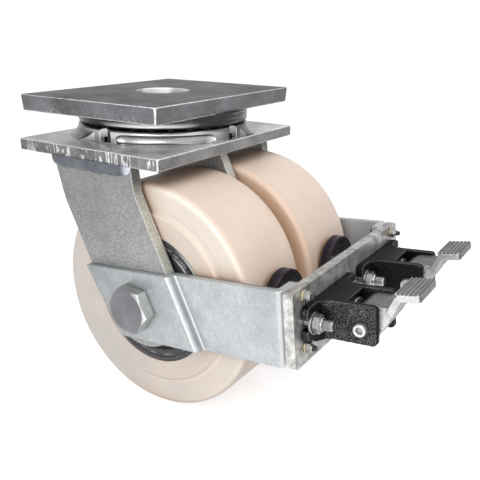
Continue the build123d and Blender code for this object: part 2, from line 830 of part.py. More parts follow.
# ---------------------------------------------------------- brake units
for side, name in sides:
    unit_y = side * wheel_pitch_y
    stud_points = [(unit_y - stud_offset, stud_v), (unit_y + stud_offset, stud_v)]
    with BuildPart() as housing:
        flare_u = ear_rear_u + unit_flare_radius
        flare_y = unit_half_width + unit_flare_radius
        flare_diagonal = unit_flare_radius * math.sin(math.radians(45))
        with BuildSketch(arm_plan.offset(-unit_half_height)):
            for edge in (-1, 1):
                with BuildLine():
                    Polyline(
                        (ear_rear_u, unit_y + edge * flare_y),
                        (cross_rear_u, unit_y + edge * flare_y),
                        (cross_rear_u, unit_y),
                        (unit_rear_u, unit_y),
                        (unit_rear_u, unit_y + edge * unit_half_width),
                        (flare_u, unit_y + edge * unit_half_width),
                    )
                    ThreePointArc(
                        (flare_u, unit_y + edge * unit_half_width),
                        (flare_u - flare_diagonal, unit_y + edge * (flare_y - flare_diagonal)),
                        (ear_rear_u, unit_y + edge * flare_y),
                    )
                make_face()
            nose_corners = vertices().group_by(Axis.X)[-1]
            fillet(nose_corners, unit_nose_radius)
        extrude(amount=2 * unit_half_height)
        # Seen from the side, the cheeks' rear corners are round.
        with BuildSketch(arm_side(unit_y)):
            with BuildLine():
                Polyline(
                    (unit_rear_u, -unit_half_height),
                    (unit_rear_u, unit_half_height),
                    (0, unit_half_height),
                    (0, -unit_half_height),
                    close=True,
                )
            make_face()
            rear_low = (unit_rear_u, -unit_half_height)
            rear_high = (unit_rear_u, unit_half_height)
            fillet(vertices().sort_by_distance(rear_low)[0], unit_cheek_corner)
            fillet(vertices().sort_by_distance(rear_high)[0], unit_cheek_corner)
        extrude(amount=unit_ear_half_width, both=True, mode=Mode.INTERSECT)
        with BuildSketch(across(cross_rear_u)):
            with Locations((unit_y, stud_v)):
                RectangleRounded(2 * unit_ear_half_width, 2 * unit_ear_half_height, unit_ear_corner)
        extrude(amount=unit_ear_thickness)
        # Round pockets give room for a socket over each stud nut.
        drill(stud_points, stud_pocket_radius, ear_rear_u, ear_rear_u + stud_pocket_length)
        # The ears are slotted, so the housing slides on under its nuts.
        with BuildSketch(across(cross_rear_u)):
            for edge in (-1, 1):
                slot_length = unit_ear_half_width - stud_offset
                with Locations((unit_y + edge * stud_offset, stud_v)):
                    Circle(stud_slot_half_width)
                with Locations((unit_y + edge * (stud_offset + slot_length / 2), stud_v)):
                    Rectangle(slot_length, 2 * stud_slot_half_width)
        extrude(amount=unit_ear_thickness, mode=Mode.SUBTRACT)
        # The rear is forked into two cheeks that hold the lever's pivot.
        with BuildSketch(across(unit_slot_front_u)):
            with Locations((unit_y, 0)):
                Rectangle(2 * unit_slot_half_width, 4 * unit_half_height)
        extrude(amount=unit_rear_u - unit_slot_front_u, mode=Mode.SUBTRACT)
        head_bore = plunger_head_radius + cam_gap
        drill([(unit_y, 0)], plunger_radius + running_clearance, cross_rear_u, ear_rear_u)
        drill([(unit_y, 0)], head_bore, ear_rear_u, unit_slot_front_u)
        with BuildSketch(arm_side(0)):
            with Locations((pivot_u, pivot_v)):
                Circle(pivot_radius + seat_clearance)
        pivot_drill_length = wheel_pitch_y + unit_ear_half_width
        extrude(amount=pivot_drill_length, both=True, mode=Mode.SUBTRACT)
    write(housing, f"brake_housing_{name}")

    with BuildPart() as plunger:
        disc_row([(unit_y, 0)], backing_back_u, plunger_head_front_u, plunger_radius)
        disc_row([(unit_y, 0)], plunger_head_front_u, plunger_rear_u, plunger_head_radius)
    write(plunger, f"plunger_{name}")

    with BuildPart() as pad_backing:
        disc_row([(unit_y, 0)], pad_back_u, backing_back_u, pad_radius)
        chamfer(edges().filter_by(GeomType.CIRCLE).sort_by(Axis.X)[-1], plate_edge_break)
    write(pad_backing, f"pad_backing_{name}")

    with BuildPart() as brake_pad:
        disc_row([(unit_y, 0)], pad_front_u, pad_back_u, pad_radius)
        chamfer(edges().filter_by(GeomType.CIRCLE).sort_by(Axis.X)[0], plate_edge_break)
    write(brake_pad, f"brake_pad_{name}")

stud_washer_rear_u = ear_rear_u + stud_washer_thickness
stud_nut_rear_u = stud_washer_rear_u + stud_nut_height
with BuildPart() as unit_studs:
    # The outer studs also clamp the arm's flange, the inner ones do not.
    for points, front_u in ((outer_studs, frame_clamp_front_u), (inner_studs, cross_front_u)):
        hex_row(points, front_u - stud_head_height, front_u, stud_nut_across_flats)
        disc_row(points, front_u, stud_nut_rear_u + stud_end, stud_radius)
write(unit_studs, "unit_studs")

with BuildPart() as unit_washers:
    stud_bore = stud_radius + seat_clearance
    disc_row(every_stud, ear_rear_u, stud_washer_rear_u, stud_washer_radius, stud_bore)
write(unit_washers, "unit_washers")

with BuildPart() as unit_nuts:
    hex_row(every_stud, stud_washer_rear_u, stud_nut_rear_u, stud_nut_across_flats, stud_bore)
write(unit_nuts, "unit_nuts")

def pivot_disc(y_from, y_to, outer_radius, bore_radius=0.0):
    """Disc or washer on the lever pivot between two y values, y_to above."""
    with BuildSketch(arm_side(y_to)) as face:
        with Locations((pivot_u, pivot_v)):
            Circle(outer_radius)
            if bore_radius > 0:
                Circle(bore_radius, mode=Mode.SUBTRACT)
    extrude(face.sketch, amount=y_to - y_from)


with BuildPart() as pivot_screws:
    for side, name in sides:
        unit_y = side * wheel_pitch_y
        cheek_y = unit_y - unit_half_width
        washer_y = cheek_y - pivot_washer_thickness
        pivot_disc(washer_y, unit_y + unit_half_width, pivot_radius)
        pivot_disc(washer_y - pivot_head_height, washer_y, pivot_head_radius)
        with BuildSketch(arm_side(washer_y - pivot_head_height)) as socket:
            with Locations((pivot_u, pivot_v)):
                RegularPolygon(pivot_socket_across_flats / 2, 6, major_radius=False)
        extrude(socket.sketch, amount=-pivot_socket_depth, mode=Mode.SUBTRACT)
write(pivot_screws, "pivot_screws")

with BuildPart() as pivot_washers:
    for side, name in sides:
        cheek_y = side * wheel_pitch_y - unit_half_width
        pivot_disc(
            cheek_y - pivot_washer_thickness,
            cheek_y,
            pivot_washer_radius,
            pivot_radius + seat_clearance,
        )
write(pivot_washers, "pivot_washers")


# --------------------------------------------------------------- levers
def cam_point(angle):
    """Point of the involute cam, in u and v, that touches at this angle."""
    turn = math.radians(angle)
    reach = cam_rest_length + cam_base_radius * turn
    u = -reach * math.cos(turn) + cam_base_radius * math.sin(turn)
    v = -reach * math.sin(turn) - cam_base_radius * math.cos(turn)
    return (pivot_u + u, pivot_v + v)


def from_pivot(offset):
    """Point in u and v at this offset from the lever's pivot."""
    return (pivot_u + offset[0], pivot_v + offset[1])


for side, name in sides:
    unit_y = side * wheel_pitch_y
    with BuildPart() as lever:
        with BuildSketch(arm_side(unit_y)):
            with BuildLine():
                # Cam face against the plunger, then the hub's underside.
                cam = Spline(cam_point(0), cam_point(cam_last_angle / 2), cam_point(cam_last_angle))
                hub_low = from_pivot(lever_hub_low)
                hub_rear = from_pivot(lever_hub_rear)
                ThreePointArc(cam @ 1, from_pivot(lever_hub_low_middle), hub_low)
                ThreePointArc(hub_low, from_pivot(lever_hub_rear_middle), hub_rear)
                # Neck up to the pedal and back to the hub's top.
                neck_u = foot_pad_front_u + lever_neck_into_pedal
                hub_top = from_pivot(lever_hub_top)
                Polyline(
                    hub_rear,
                    from_pivot(lever_heel),
                    from_pivot(lever_heel_top),
                    (neck_u, foot_pad_top_v - foot_pad_thickness + lever_neck_below_pedal),
                    (neck_u, foot_pad_top_v - foot_pad_drop / 2),
                    (foot_pad_front_u, foot_pad_top_v - 2 * foot_pad_drop),
                    from_pivot(lever_hub_top_rear),
                    hub_top,
                )
                cam_top = from_pivot((-cam_rest_length, lever_cam_top))
                ThreePointArc(hub_top, from_pivot(lever_hub_front_middle), cam_top)
                Line(cam_top, cam @ 0)
            make_face()
        extrude(amount=lever_half_width, both=True)
        # The neck is as wide as the pedal, and wider than the hub.
        with BuildSketch(arm_side(unit_y)):
            Polygon(
                (foot_pad_front_u, foot_pad_top_v - 2 * foot_pad_drop),
                from_pivot(lever_neck_low_front),
                from_pivot(lever_neck_low_rear),
                (neck_u, foot_pad_top_v - foot_pad_thickness + lever_neck_below_pedal),
                align=None,
            )
        extrude(amount=foot_pad_half_width, both=True)
        # The pedal rises a little to the rear.
        pad_length = foot_pad_rear_u - foot_pad_front_u
        pad_front_v = foot_pad_top_v - foot_pad_drop
        rise = math.radians(foot_pad_rise)
        along = (math.cos(rise), math.sin(rise))
        pad_plane = Plane(
            origin=axle_point + u_direction * foot_pad_front_u + v_direction * pad_front_v,
            x_dir=u_direction * along[0] + v_direction * along[1],
            z_dir=v_direction * along[0] - u_direction * along[1],
        )
        with BuildSketch(pad_plane.offset(-foot_pad_thickness)):
            with Locations((pad_length / 2, unit_y)):
                RectangleRounded(pad_length, 2 * foot_pad_half_width, foot_pad_thickness / 2)
        extrude(amount=foot_pad_thickness)
        # Grip ridges run across the pedal.
        ridge_plane = Plane(
            origin=pad_plane.origin + Vector(0, unit_y, 0),
            x_dir=pad_plane.x_dir,
            z_dir=(0, -1, 0),
        )
        with BuildSketch(ridge_plane):
            for ridge in range(foot_ridge_count):
                ridge_u = pad_length - 2 * foot_ridge_radius - ridge * foot_ridge_pitch
                with Locations((ridge_u, 0)):
                    Circle(foot_ridge_radius)
        extrude(amount=foot_pad_half_width - foot_ridge_radius, both=True)
        with BuildSketch(arm_side(unit_y)):
            with Locations((pivot_u, pivot_v)):
                Circle(pivot_radius + running_clearance)
        extrude(amount=lever_half_width, both=True, mode=Mode.SUBTRACT)
    write(lever, f"brake_lever_{name}")
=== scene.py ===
"""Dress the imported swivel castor: finishes, fasteners, welds, castings and a plain studio."""
import math

import bmesh
import bpy
import numpy as np
from bpy.props import FloatProperty, FloatVectorProperty, PointerProperty
from mathutils import Matrix, Vector


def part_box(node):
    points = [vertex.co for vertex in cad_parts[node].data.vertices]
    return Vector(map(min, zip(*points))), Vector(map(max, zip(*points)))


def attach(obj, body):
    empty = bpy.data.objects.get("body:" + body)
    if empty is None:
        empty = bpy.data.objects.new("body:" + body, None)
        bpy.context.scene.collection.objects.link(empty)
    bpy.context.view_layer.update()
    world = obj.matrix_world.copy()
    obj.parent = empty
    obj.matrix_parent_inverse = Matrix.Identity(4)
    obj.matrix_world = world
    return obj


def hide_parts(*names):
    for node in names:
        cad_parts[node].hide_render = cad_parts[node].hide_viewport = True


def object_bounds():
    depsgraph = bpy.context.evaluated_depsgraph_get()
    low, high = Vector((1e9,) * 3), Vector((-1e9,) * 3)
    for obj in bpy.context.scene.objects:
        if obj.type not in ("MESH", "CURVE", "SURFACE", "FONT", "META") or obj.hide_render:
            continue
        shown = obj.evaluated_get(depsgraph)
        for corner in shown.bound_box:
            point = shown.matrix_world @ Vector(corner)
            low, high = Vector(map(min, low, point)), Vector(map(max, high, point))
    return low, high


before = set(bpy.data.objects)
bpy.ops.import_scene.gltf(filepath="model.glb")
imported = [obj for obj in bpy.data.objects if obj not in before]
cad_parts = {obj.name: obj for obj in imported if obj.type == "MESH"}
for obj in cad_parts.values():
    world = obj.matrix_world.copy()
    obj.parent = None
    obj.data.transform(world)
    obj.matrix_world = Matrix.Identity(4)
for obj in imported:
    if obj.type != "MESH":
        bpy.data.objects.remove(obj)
CAD_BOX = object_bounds()

bl_info = {
    "name": "Swivel Castor Dressing",
    "version": (1, 0, 0),
    "blender": (4, 5, 0),
    "location": "View3D > Sidebar > Castor",
    "description": "Builds the finishes and fine pieces of a braked twin-wheel swivel castor",
    "category": "Object",
}

AXLE = np.array((0.057, 0.0, -0.163))
WHEEL_Y = 0.050
ARM_TILT = math.radians(5.5)
ALONG_ARM = np.array((math.cos(ARM_TILT), 0.0, math.sin(ARM_TILT)))
UP_ARM = np.array((-math.sin(ARM_TILT), 0.0, math.cos(ARM_TILT)))
ACROSS = np.array((0.0, 1.0, 0.0))
RACE_RADIUS = 0.0785
SIDES = ((-1, "left"), (1, "right"))


# Sizes and colours.
def colour(name, text, value):
    """Colour property with its default."""
    return FloatVectorProperty(
        name=name, description=text, subtype="COLOR", size=3, min=0.0, max=1.0, default=value
    )


def length(name, text, value):
    """Length property in metres with its default."""
    return FloatProperty(
        name=name, description=text, subtype="DISTANCE", unit="LENGTH", min=0.0, default=value
    )


class CastorFinish(bpy.types.PropertyGroup):
    """Base colours of the castor's finishes, the wear of its edges and the skin of its castings."""

    plate_zinc: colour("Plate zinc", "Zinc on the mounting plate", (0.195, 0.194, 0.206))
    # Race zinc is the colour painted as a reflection on the race rings.
    race_zinc: colour("Race zinc", "Polished zinc on the two race rings", (0.78, 0.80, 0.80))
    race_dark: colour("Race shade", "Duller zinc round the race rings", (0.060, 0.063, 0.060))
    fork_plate_zinc: colour("Fork plate zinc", "Zinc on the fork's plate", (0.23, 0.23, 0.23))
    leg_zinc: colour("Leg zinc", "Zinc on the fork legs", (0.30, 0.30, 0.30))
    arm_zinc: colour("Arm zinc", "Zinc on the brake arms", (0.45, 0.475, 0.49))
    cross_zinc: colour("Cross plate zinc", "Zinc on the cross plate", (0.24, 0.236, 0.23))
    weld: colour("Weld", "Weld beads under the fork plate", (0.13, 0.14, 0.162))
    bolt_steel: colour("Bolt steel", "Axle bolt and nut", (0.185, 0.182, 0.195))
    bright_zinc: colour("Bright zinc", "Kingpin, plungers, studs and nuts", (0.40, 0.40, 0.39))
    screw_zinc: colour("Screw zinc", "Pivot screws", (0.72, 0.72, 0.71))
    yellow_zinc: colour("Yellow zinc", "Washers of the frame bolts", (0.55, 0.49, 0.30))
    bearing_steel: colour("Bearing steel", "Rings, balls and tubes", (0.55, 0.55, 0.56))
    nylon: colour("Nylon", "Cast nylon of the wheels", (0.88, 0.735, 0.63))
    nylon_shadow: colour("Nylon shadow", "Nylon in hollows", (0.46, 0.26, 0.15))
    cap_black: colour("Cap black", "Hub caps", (0.030, 0.030, 0.033))
    casting_black: colour("Casting black", "Brake housings", (0.010, 0.010, 0.011))
    lever_metal: colour("Lever metal", "Cast pedals", (0.24, 0.24, 0.245))
    rubber: colour("Rubber", "Brake pads", (0.012, 0.009, 0.013))
    thread_black: colour("Thread black", "Frame bolts and pivot washers", (0.030, 0.030, 0.032))
    # How far the plates' edge wear and painted highlight reach from an edge.
    worn_edge: length("Worn edge", "How far wear reaches from an edge of a plate", 0.0010)
    cast_round: length("Cast round", "Voxel size from which cast edges are rounded", 0.0006)
    cast_ripple: length("Cast ripple", "Depth of the waves in a cast skin", 0.00018)


# Shader graphs.
WHITE = (1.0, 1.0, 1.0, 1.0)
AXLE_LINE = (AXLE[0], 0.0, AXLE[2])
# Scales that leave only the distance from the axle, or from the kingpin.
FROM_AXLE = (1.0, 0.0, 1.0)
FROM_KINGPIN = (1.0, 1.0, 0.0)


def plug(tree, target, value):
    """Give an input socket a value or another node's output."""
    if isinstance(value, Signal):
        tree.links.new(value.socket, target)
    else:
        target.default_value = value


def signal(tree, kind, output, inputs=None, **settings):
    """Output of a new shader node; each input takes a value or another Signal."""
    made = tree.nodes.new("ShaderNode" + kind)
    for name, value in settings.items():
        setattr(made, name, value)
    for name, value in (inputs or {}).items():
        plug(tree, made.inputs[name], value)
    return Signal(tree, made.outputs[output])


def mixed(tree, factor, first, second, mode="MIX"):
    """Colour of a Mix node."""
    return signal(tree, "Mix", 2, {0: factor, 6: first, 7: second}, data_type="RGBA", blend_type=mode)


class Signal:
    """Output of a shader node, with the sums that materials do on it; each sum adds one node."""

    def __init__(self, tree, socket):
        self.tree, self.socket = tree, socket

    def math(self, operation, second=0.0, third=0.0):
        """Value of a Math node on this."""
        return signal(self.tree, "Math", "Value", {0: self, 1: second, 2: third}, operation=operation)

    def __mul__(self, other):
        return self.math("MULTIPLY", other)

    def __add__(self, other):
        return self.math("ADD", other)

    def __sub__(self, other):
        return self.math("SUBTRACT", other)

    def __abs__(self):
        return self.math("ABSOLUTE")

    def most(self, other):
        """The larger of two values."""
        return self.math("MAXIMUM", other)

    def rest(self):
        """What is left of 1."""
        return signal(self.tree, "Math", "Value", {0: 1.0, 1: self}, operation="SUBTRACT", use_clamp=True)

    def ramp(self, low, high, to_low=0.0, to_high=1.0):
        """Straight ramp, level outside low and high; low may be the larger."""
        inputs = {"Value": self, "From Min": low, "From Max": high, "To Min": to_low, "To Max": to_high}
        return signal(self.tree, "MapRange", "Result", inputs)

    def levels(self, to_low, to_high):
        """This mask spread between two values."""
        return self.ramp(0.0, 1.0, to_low, to_high)

    def hump(self, start, top, top_end, end):
        """0 outside start and end and 1 between the tops."""
        return self.ramp(start, top) * self.ramp(end, top_end)

    def near(self, centre, reach, core):
        """1 within core of a centre value and 0 beyond reach."""
        return abs(self - centre).ramp(reach, core)

    def vector(self, operation, other=None, output="Value"):
        """Output of a Vector Math node on this vector and perhaps another."""
        inputs = {0: self} if other is None else {0: self, 1: other}
        return signal(self.tree, "VectorMath", output, inputs, operation=operation)

    def dot(self, direction):
        """How far this vector reaches along another."""
        return self.vector("DOT_PRODUCT", direction)

    def part(self, axis):
        """One component of this vector."""
        return signal(self.tree, "SeparateXYZ", axis, {0: self})

    def along(self, direction, low, high, to_low=0.0, to_high=1.0):
        """Value that drifts along a direction; low and high are distances in metres."""
        return self.dot(direction).ramp(low, high, to_low, to_high)

    def stretched(self, stretch, turn=(0.0, 0.0, 0.0)):
        """These coordinates turned and scaled differently along each axis."""
        return signal(self.tree, "Mapping", "Vector", {"Vector": self, "Scale": stretch, "Rotation": turn})

    def noise(self, scale=1.0, detail=3.0, roughness=0.6):
        """Noise over these coordinates."""
        inputs = {"Vector": self, "Scale": scale, "Detail": detail, "Roughness": roughness}
        return signal(self.tree, "TexNoise", "Fac", inputs)

    def cells(self, scale=1.0, output="Distance", **settings):
        """Output of a pattern of cells over these coordinates."""
        return signal(self.tree, "TexVoronoi", output, {"Vector": self, "Scale": scale}, **settings)

    def between(self, first, second):
        """Colour that this mask mixes from the first to the second."""
        return mixed(self.tree, self, first, second)

    def paint(self, mask, colour):
        """This colour with another laid over it through a mask."""
        return mixed(self.tree, mask, self, colour)

    def times(self, other):
        """This colour multiplied by a colour or a value."""
        return mixed(self.tree, 1.0, self, other, "MULTIPLY")

    def bump(self, strength, distance, normal):
        """Normal raised by this height over another normal."""
        inputs = {"Height": self, "Strength": strength, "Distance": distance, "Normal": normal}
        return signal(self.tree, "Bump", "Normal", inputs)


def new_group(name, outputs, **inputs):
    """Empty shader group: its inputs in order, and a function that plugs its outputs.

    Each input has its default value, or None for a vector. Underscores in input
    names stand for spaces, and the output called Normal is a vector.
    """
    group = bpy.data.node_groups.new(name, "ShaderNodeTree")
    for label, value in inputs.items():
        kind = "NodeSocketVector" if value is None else "NodeSocketFloat"
        socket = group.interface.new_socket(name=label.replace("_", " "), in_out="INPUT", socket_type=kind)
        if value is not None:
            socket.default_value = value
    for label in outputs:
        kind = "NodeSocketVector" if label == "Normal" else "NodeSocketFloat"
        group.interface.new_socket(name=label, in_out="OUTPUT", socket_type=kind)
    sockets = group.nodes.new("NodeGroupInput").outputs
    ends = group.nodes.new("NodeGroupOutput").inputs

    def give(*results):
        for label, value in zip(outputs, results):
            plug(group, ends[label], value)
        return group

    return give, *(Signal(group, sockets[label.replace("_", " ")]) for label in inputs)


def worn_edges_group():
    """Where edges are painted bright, partly as wear and partly as painted highlight, from how far a rounded
    normal leaves the true one.
    """
    give, where, radius, scale = new_group("Worn edges", ("Mask", "Normal"), Vector=None, Radius=0.001,
                                           Patch_scale=900.0)
    rounded = signal(where.tree, "Bevel", "Normal", {"Radius": radius}, samples=6)
    turned = rounded.dot(signal(where.tree, "NewGeometry", "Normal")).rest().ramp(0.01, 0.16)
    return give(turned * where.noise(scale, 4.0, 0.7).ramp(0.38, 0.60, 0.15, 1.0), rounded)


def zinc_skin_group():
    """Cloudy patches, fine crystal flecks and hairline rubs of a zinc coating."""
    give, where, cloud_scale, fleck_scale = new_group("Zinc skin", ("Clouds", "Flecks", "Rubs"), Vector=None,
                                                      Cloud_scale=28.0, Fleck_scale=1400.0)
    tone = signal(where.tree, "SeparateColor", "Red", {"Color": where.cells(fleck_scale, "Color")})
    lines = where.stretched((900.0, 900.0, 60.0), (0.4, 0.9, 0.2)).noise(1.0, 3.0, 0.5)
    return give(where.noise(cloud_scale, 5.0).ramp(0.32, 0.68),
                tone * 0.55 + where.noise(fleck_scale, 2.0, 0.8) * 0.45, lines.ramp(0.62, 0.74))


def facing_group():
    """Masks of the faces that look up, along the axle and along the travel of the castor."""
    give, normal = new_group("Facing", ("Up", "Axle", "Travel"), Normal=None)
    sideways = (abs(normal.part(axis)).ramp(0.60, 0.85) for axis in "YX")
    return give(normal.part("Z").ramp(0.55, 0.80), *sideways)


def plate_edges_group():
    """Rounded edges and corners of an upright plate, from normals that lie between its faces."""
    give, normal, where, scale = new_group("Plate edges", ("Mask",), Normal=None, Vector=None,
                                           Patch_scale=300.0)
    x, y, z = (abs(normal.part(axis)) for axis in "XYZ")
    turned = x.most(y).most(z).ramp(0.985, 0.90)
    return give(turned * where.noise(scale, 4.0, 0.7).ramp(0.35, 0.55, 0.35, 1.0))


def cast_grain_group():
    """Pebbled skin of a painted sand casting: dense fine bumps with lighter tops."""
    give, where, scale = new_group("Cast grain", ("Tops", "Height"), Vector=None, Scale=900.0)
    height = where.noise(scale, 2.0) - where.cells(scale) * 0.45
    return give(height.ramp(0.24, 0.50), height)


GROUPS = {}


def use_group(where, name, **inputs):
    """Outputs of a shared group in a Signal's tree; underscores in input names stand for spaces."""
    tree = where.tree
    made = tree.nodes.new("ShaderNodeGroup")
    made.node_tree = GROUPS[name]
    for label, value in inputs.items():
        plug(tree, made.inputs[label.replace("_", " ")], value)
    return {socket.name: Signal(tree, socket) for socket in made.outputs}


def worn_edges(where, radius):
    """Mask of the rubbed edges and the rounded normals."""
    return use_group(where, "Worn edges", Vector=where, Radius=radius)


def open_sky(where, distance):
    """How much of the surroundings within a distance each point sees."""
    return signal(where.tree, "AmbientOcclusion", "AO", {"Distance": distance}, samples=8)


def raised(where, low, high, most=1.0):
    """Mask of the mesh's ridges."""
    return signal(where.tree, "NewGeometry", "Pointiness").ramp(low, high, 0.0, most)


def new_material(name):
    """Material with the piece's own coordinates and normals."""
    material = bpy.data.materials.new(name)
    material.use_nodes = True
    own = material.node_tree.nodes.new("ShaderNodeTexCoord").outputs
    return (material, *(Signal(material.node_tree, own[label]) for label in ("Object", "Normal")))


def finish(material, sockets):
    """Give the material's shader its values and Signals by socket name."""
    tree = material.node_tree
    for name, value in sockets.items():
        plug(tree, tree.nodes["Principled BSDF"].inputs[name], value)
    return material


def shade(shade_of, factor=1.0):
    """Opaque colour multiplied by a factor."""
    return tuple(min(1.0, channel * factor) for channel in shade_of) + (1.0,)


def grey(level):
    """Opaque grey."""
    return (level, level, level, 1.0)


def sheared_side(where, facing):
    """Bright upright tears and dark folds of a plate's sheared side."""
    line = where.stretched((260.0, 260.0, 26.0)).cells(feature="DISTANCE_TO_EDGE").ramp(0.13, 0.05)
    broken = where.stretched((120.0, 120.0, 90.0)).noise().ramp(0.50, 0.60)
    folds = where.stretched((520.0, 520.0, 60.0)).noise(1.0, 4.0, 0.75)
    fine = folds.ramp(0.60, 0.70) * facing
    return (line * broken * facing).most(fine * 0.45), folds.ramp(0.52, 0.36) * facing


def zinc(name, base, metallic, rough, cloud, fleck, edge=1.9, faces=(1.0, 1.0, 1.0), **more):
    """Zinc-coated steel.

    cloud and fleck are how strongly the tone varies, edge how bright the edges
    are painted, partly as wear and partly as painted highlight, and faces the
    factors of painted light and shade for faces that look up, along the axle
    and along the travel. more holds what only some finishes have.
    """
    material, where, normal = new_material(name)
    skin = use_group(where, "Zinc skin", Vector=where, Cloud_scale=more.get("cloud_scale", 28.0),
                     Fleck_scale=more.get("fleck_scale", 1400.0))
    wear = worn_edges(where, more.get("edge_radius", 0.0009))
    facing = use_group(where, "Facing", Normal=normal)
    worn, factor = wear["Mask"], 1.0
    # Painted light and shade: each face is lightened or darkened by which way it looks.
    for label, tone_of in zip(("Up", "Axle", "Travel"), faces):
        factor = facing[label].math("MULTIPLY_ADD", tone_of - 1.0, factor)
    tone = skin["Clouds"].between(shade(base, 1.0 - cloud), shade(base, 1.0 + cloud))
    tone = tone.times(skin["Flecks"].ramp(0.25, 0.75, 1.0 - fleck, 1.0 + fleck) * factor)
    tone = tone.paint(skin["Rubs"] * more.get("rubs", 0.15), shade(base, 1.7))
    height = skin["Flecks"] + skin["Clouds"] * 1.5
    gloss = {}
    if more.get("tint"):
        # Faces between the ends get another factor: a passivation hue on the legs, and painted light on the
        # flats of the axle bolt's head.
        tone = mixed(where.tree, facing["Axle"].rest(), tone, (*more["tint"], 1.0), "MULTIPLY")
    if more.get("under"):
        # Painted shade: the edge faces are darker close under the plate.
        upper, lower, least = more["under"]
        gloom = where.along((0.0, 0.0, 1.0), upper, lower, least, 1.0)
        tone = tone.times(gloom.most(facing["Travel"].rest()))
    if more.get("shear"):
        tears, dark = sheared_side(where, facing["Axle"])
        tone = tone.paint(dark * 0.5, shade(base, 0.5)).paint(tears * more["shear"], grey(0.92))
        height = height + tears * 2.0
    if more.get("bore"):
        # Painted reflection: the turned wall of the bore is painted bright.
        from_axis = where.stretched(FROM_KINGPIN).vector("LENGTH")
        inside = from_axis.ramp(more["bore"] * 1.02, more["bore"] * 1.005)
        tone = tone.paint(inside * where.noise(45.0).ramp(0.40, 0.60, 0.35, 1.0), WHITE)
    if more.get("pits"):
        # Small pits left by scale, gathered low on the sides.
        patch = where.noise(34.0, 2.0, 0.55).ramp(0.44, 0.56) * where.part("Z").ramp(-0.006, -0.012)
        pit = where.cells(560.0).ramp(0.30, 0.14) * patch
        tone = tone.paint(pit * 0.75, grey(0.85))
        height = height - pit * 2.0
    if more.get("grime"):
        # Painted shade: hollows such as sockets and thread roots are darkened where they see little of the
        # surroundings.
        tone = tone.paint(open_sky(where, more["grime"]).ramp(0.85, 0.35, 0.0, 0.9), grey(0.02))
    if more.get("ridges"):
        # Painted highlight, partly wear: the raised edges of the casting are added to the edges painted bright.
        worn = worn.most(raised(where, 0.515, 0.56) * more["ridges"])
    if more.get("drift"):
        # Painted light and shade: the tone is multiplied by a ramp along a direction.
        tone = tone.times(where.along(*more["drift"]))
    if more.get("glint"):
        # Painted highlight: the turned chamfers are painted white on the side that faces this way.
        cone = abs(normal.part("Y")).hump(0.70, 0.80, 0.90, 0.96) * normal.dot(more["glint"]).ramp(0.20, 0.42)
        tone = tone.paint(cone * 0.75, WHITE)
    if more.get("sheet"):
        # Painted shade on the upper arris of the inner side, and painted highlights on the bends of the joggle
        # and the flange.
        inward = worn_edges(where, 0.005)["Normal"].part("Y") * where.part("Y").math("SIGN")
        tone = tone.paint(inward.ramp(-0.10, -0.30) * facing["Up"] * 0.85, grey(0.03))
        bend, rearward = normal.dot((1.0, 0.0, 0.1)), (1.0, 0.0, 0.0)
        joggle = bend.hump(0.04, 0.14, 0.34, 0.50) * where.along(rearward, 0.150, 0.130)
        flange = bend.ramp(0.30, 0.50, 0.0, 0.45) * bend.ramp(0.95, 0.80)
        gleam = joggle.most(flange * where.along(rearward, 0.170, 0.180))
        tone = tone.paint(gleam * 0.8, (0.97, 0.97, 0.94, 1.0))
    if more.get("brightest"):
        # Painted highlight: the edges, the plate's rounded edges among them, are painted brighter towards this
        # corner.
        rounded = use_group(where, "Plate edges", Normal=normal, Vector=where)["Mask"]
        worn = worn.most(rounded) * where.along(more["brightest"], -0.4, 0.75, 0.25, 1.0)
        tone = tone.paint(worn, (0.95, 0.96, 0.97, 1.0))
        gloss = {"Specular Tint": shade(WHITE[:3], more.get("rim_gloss", 1.0))}
    else:
        # Painted highlight, partly wear: the edges are painted brighter than the base.
        tone = tone.paint(worn, shade(base, edge))
    return finish(material, {
        "Base Color": tone, "Metallic": metallic, **gloss,
        "Roughness": skin["Clouds"].levels(rough + 0.07, rough - 0.07),
        "Normal": height.bump(more.get("relief", 0.35), 0.00012, wear["Normal"]),
    })


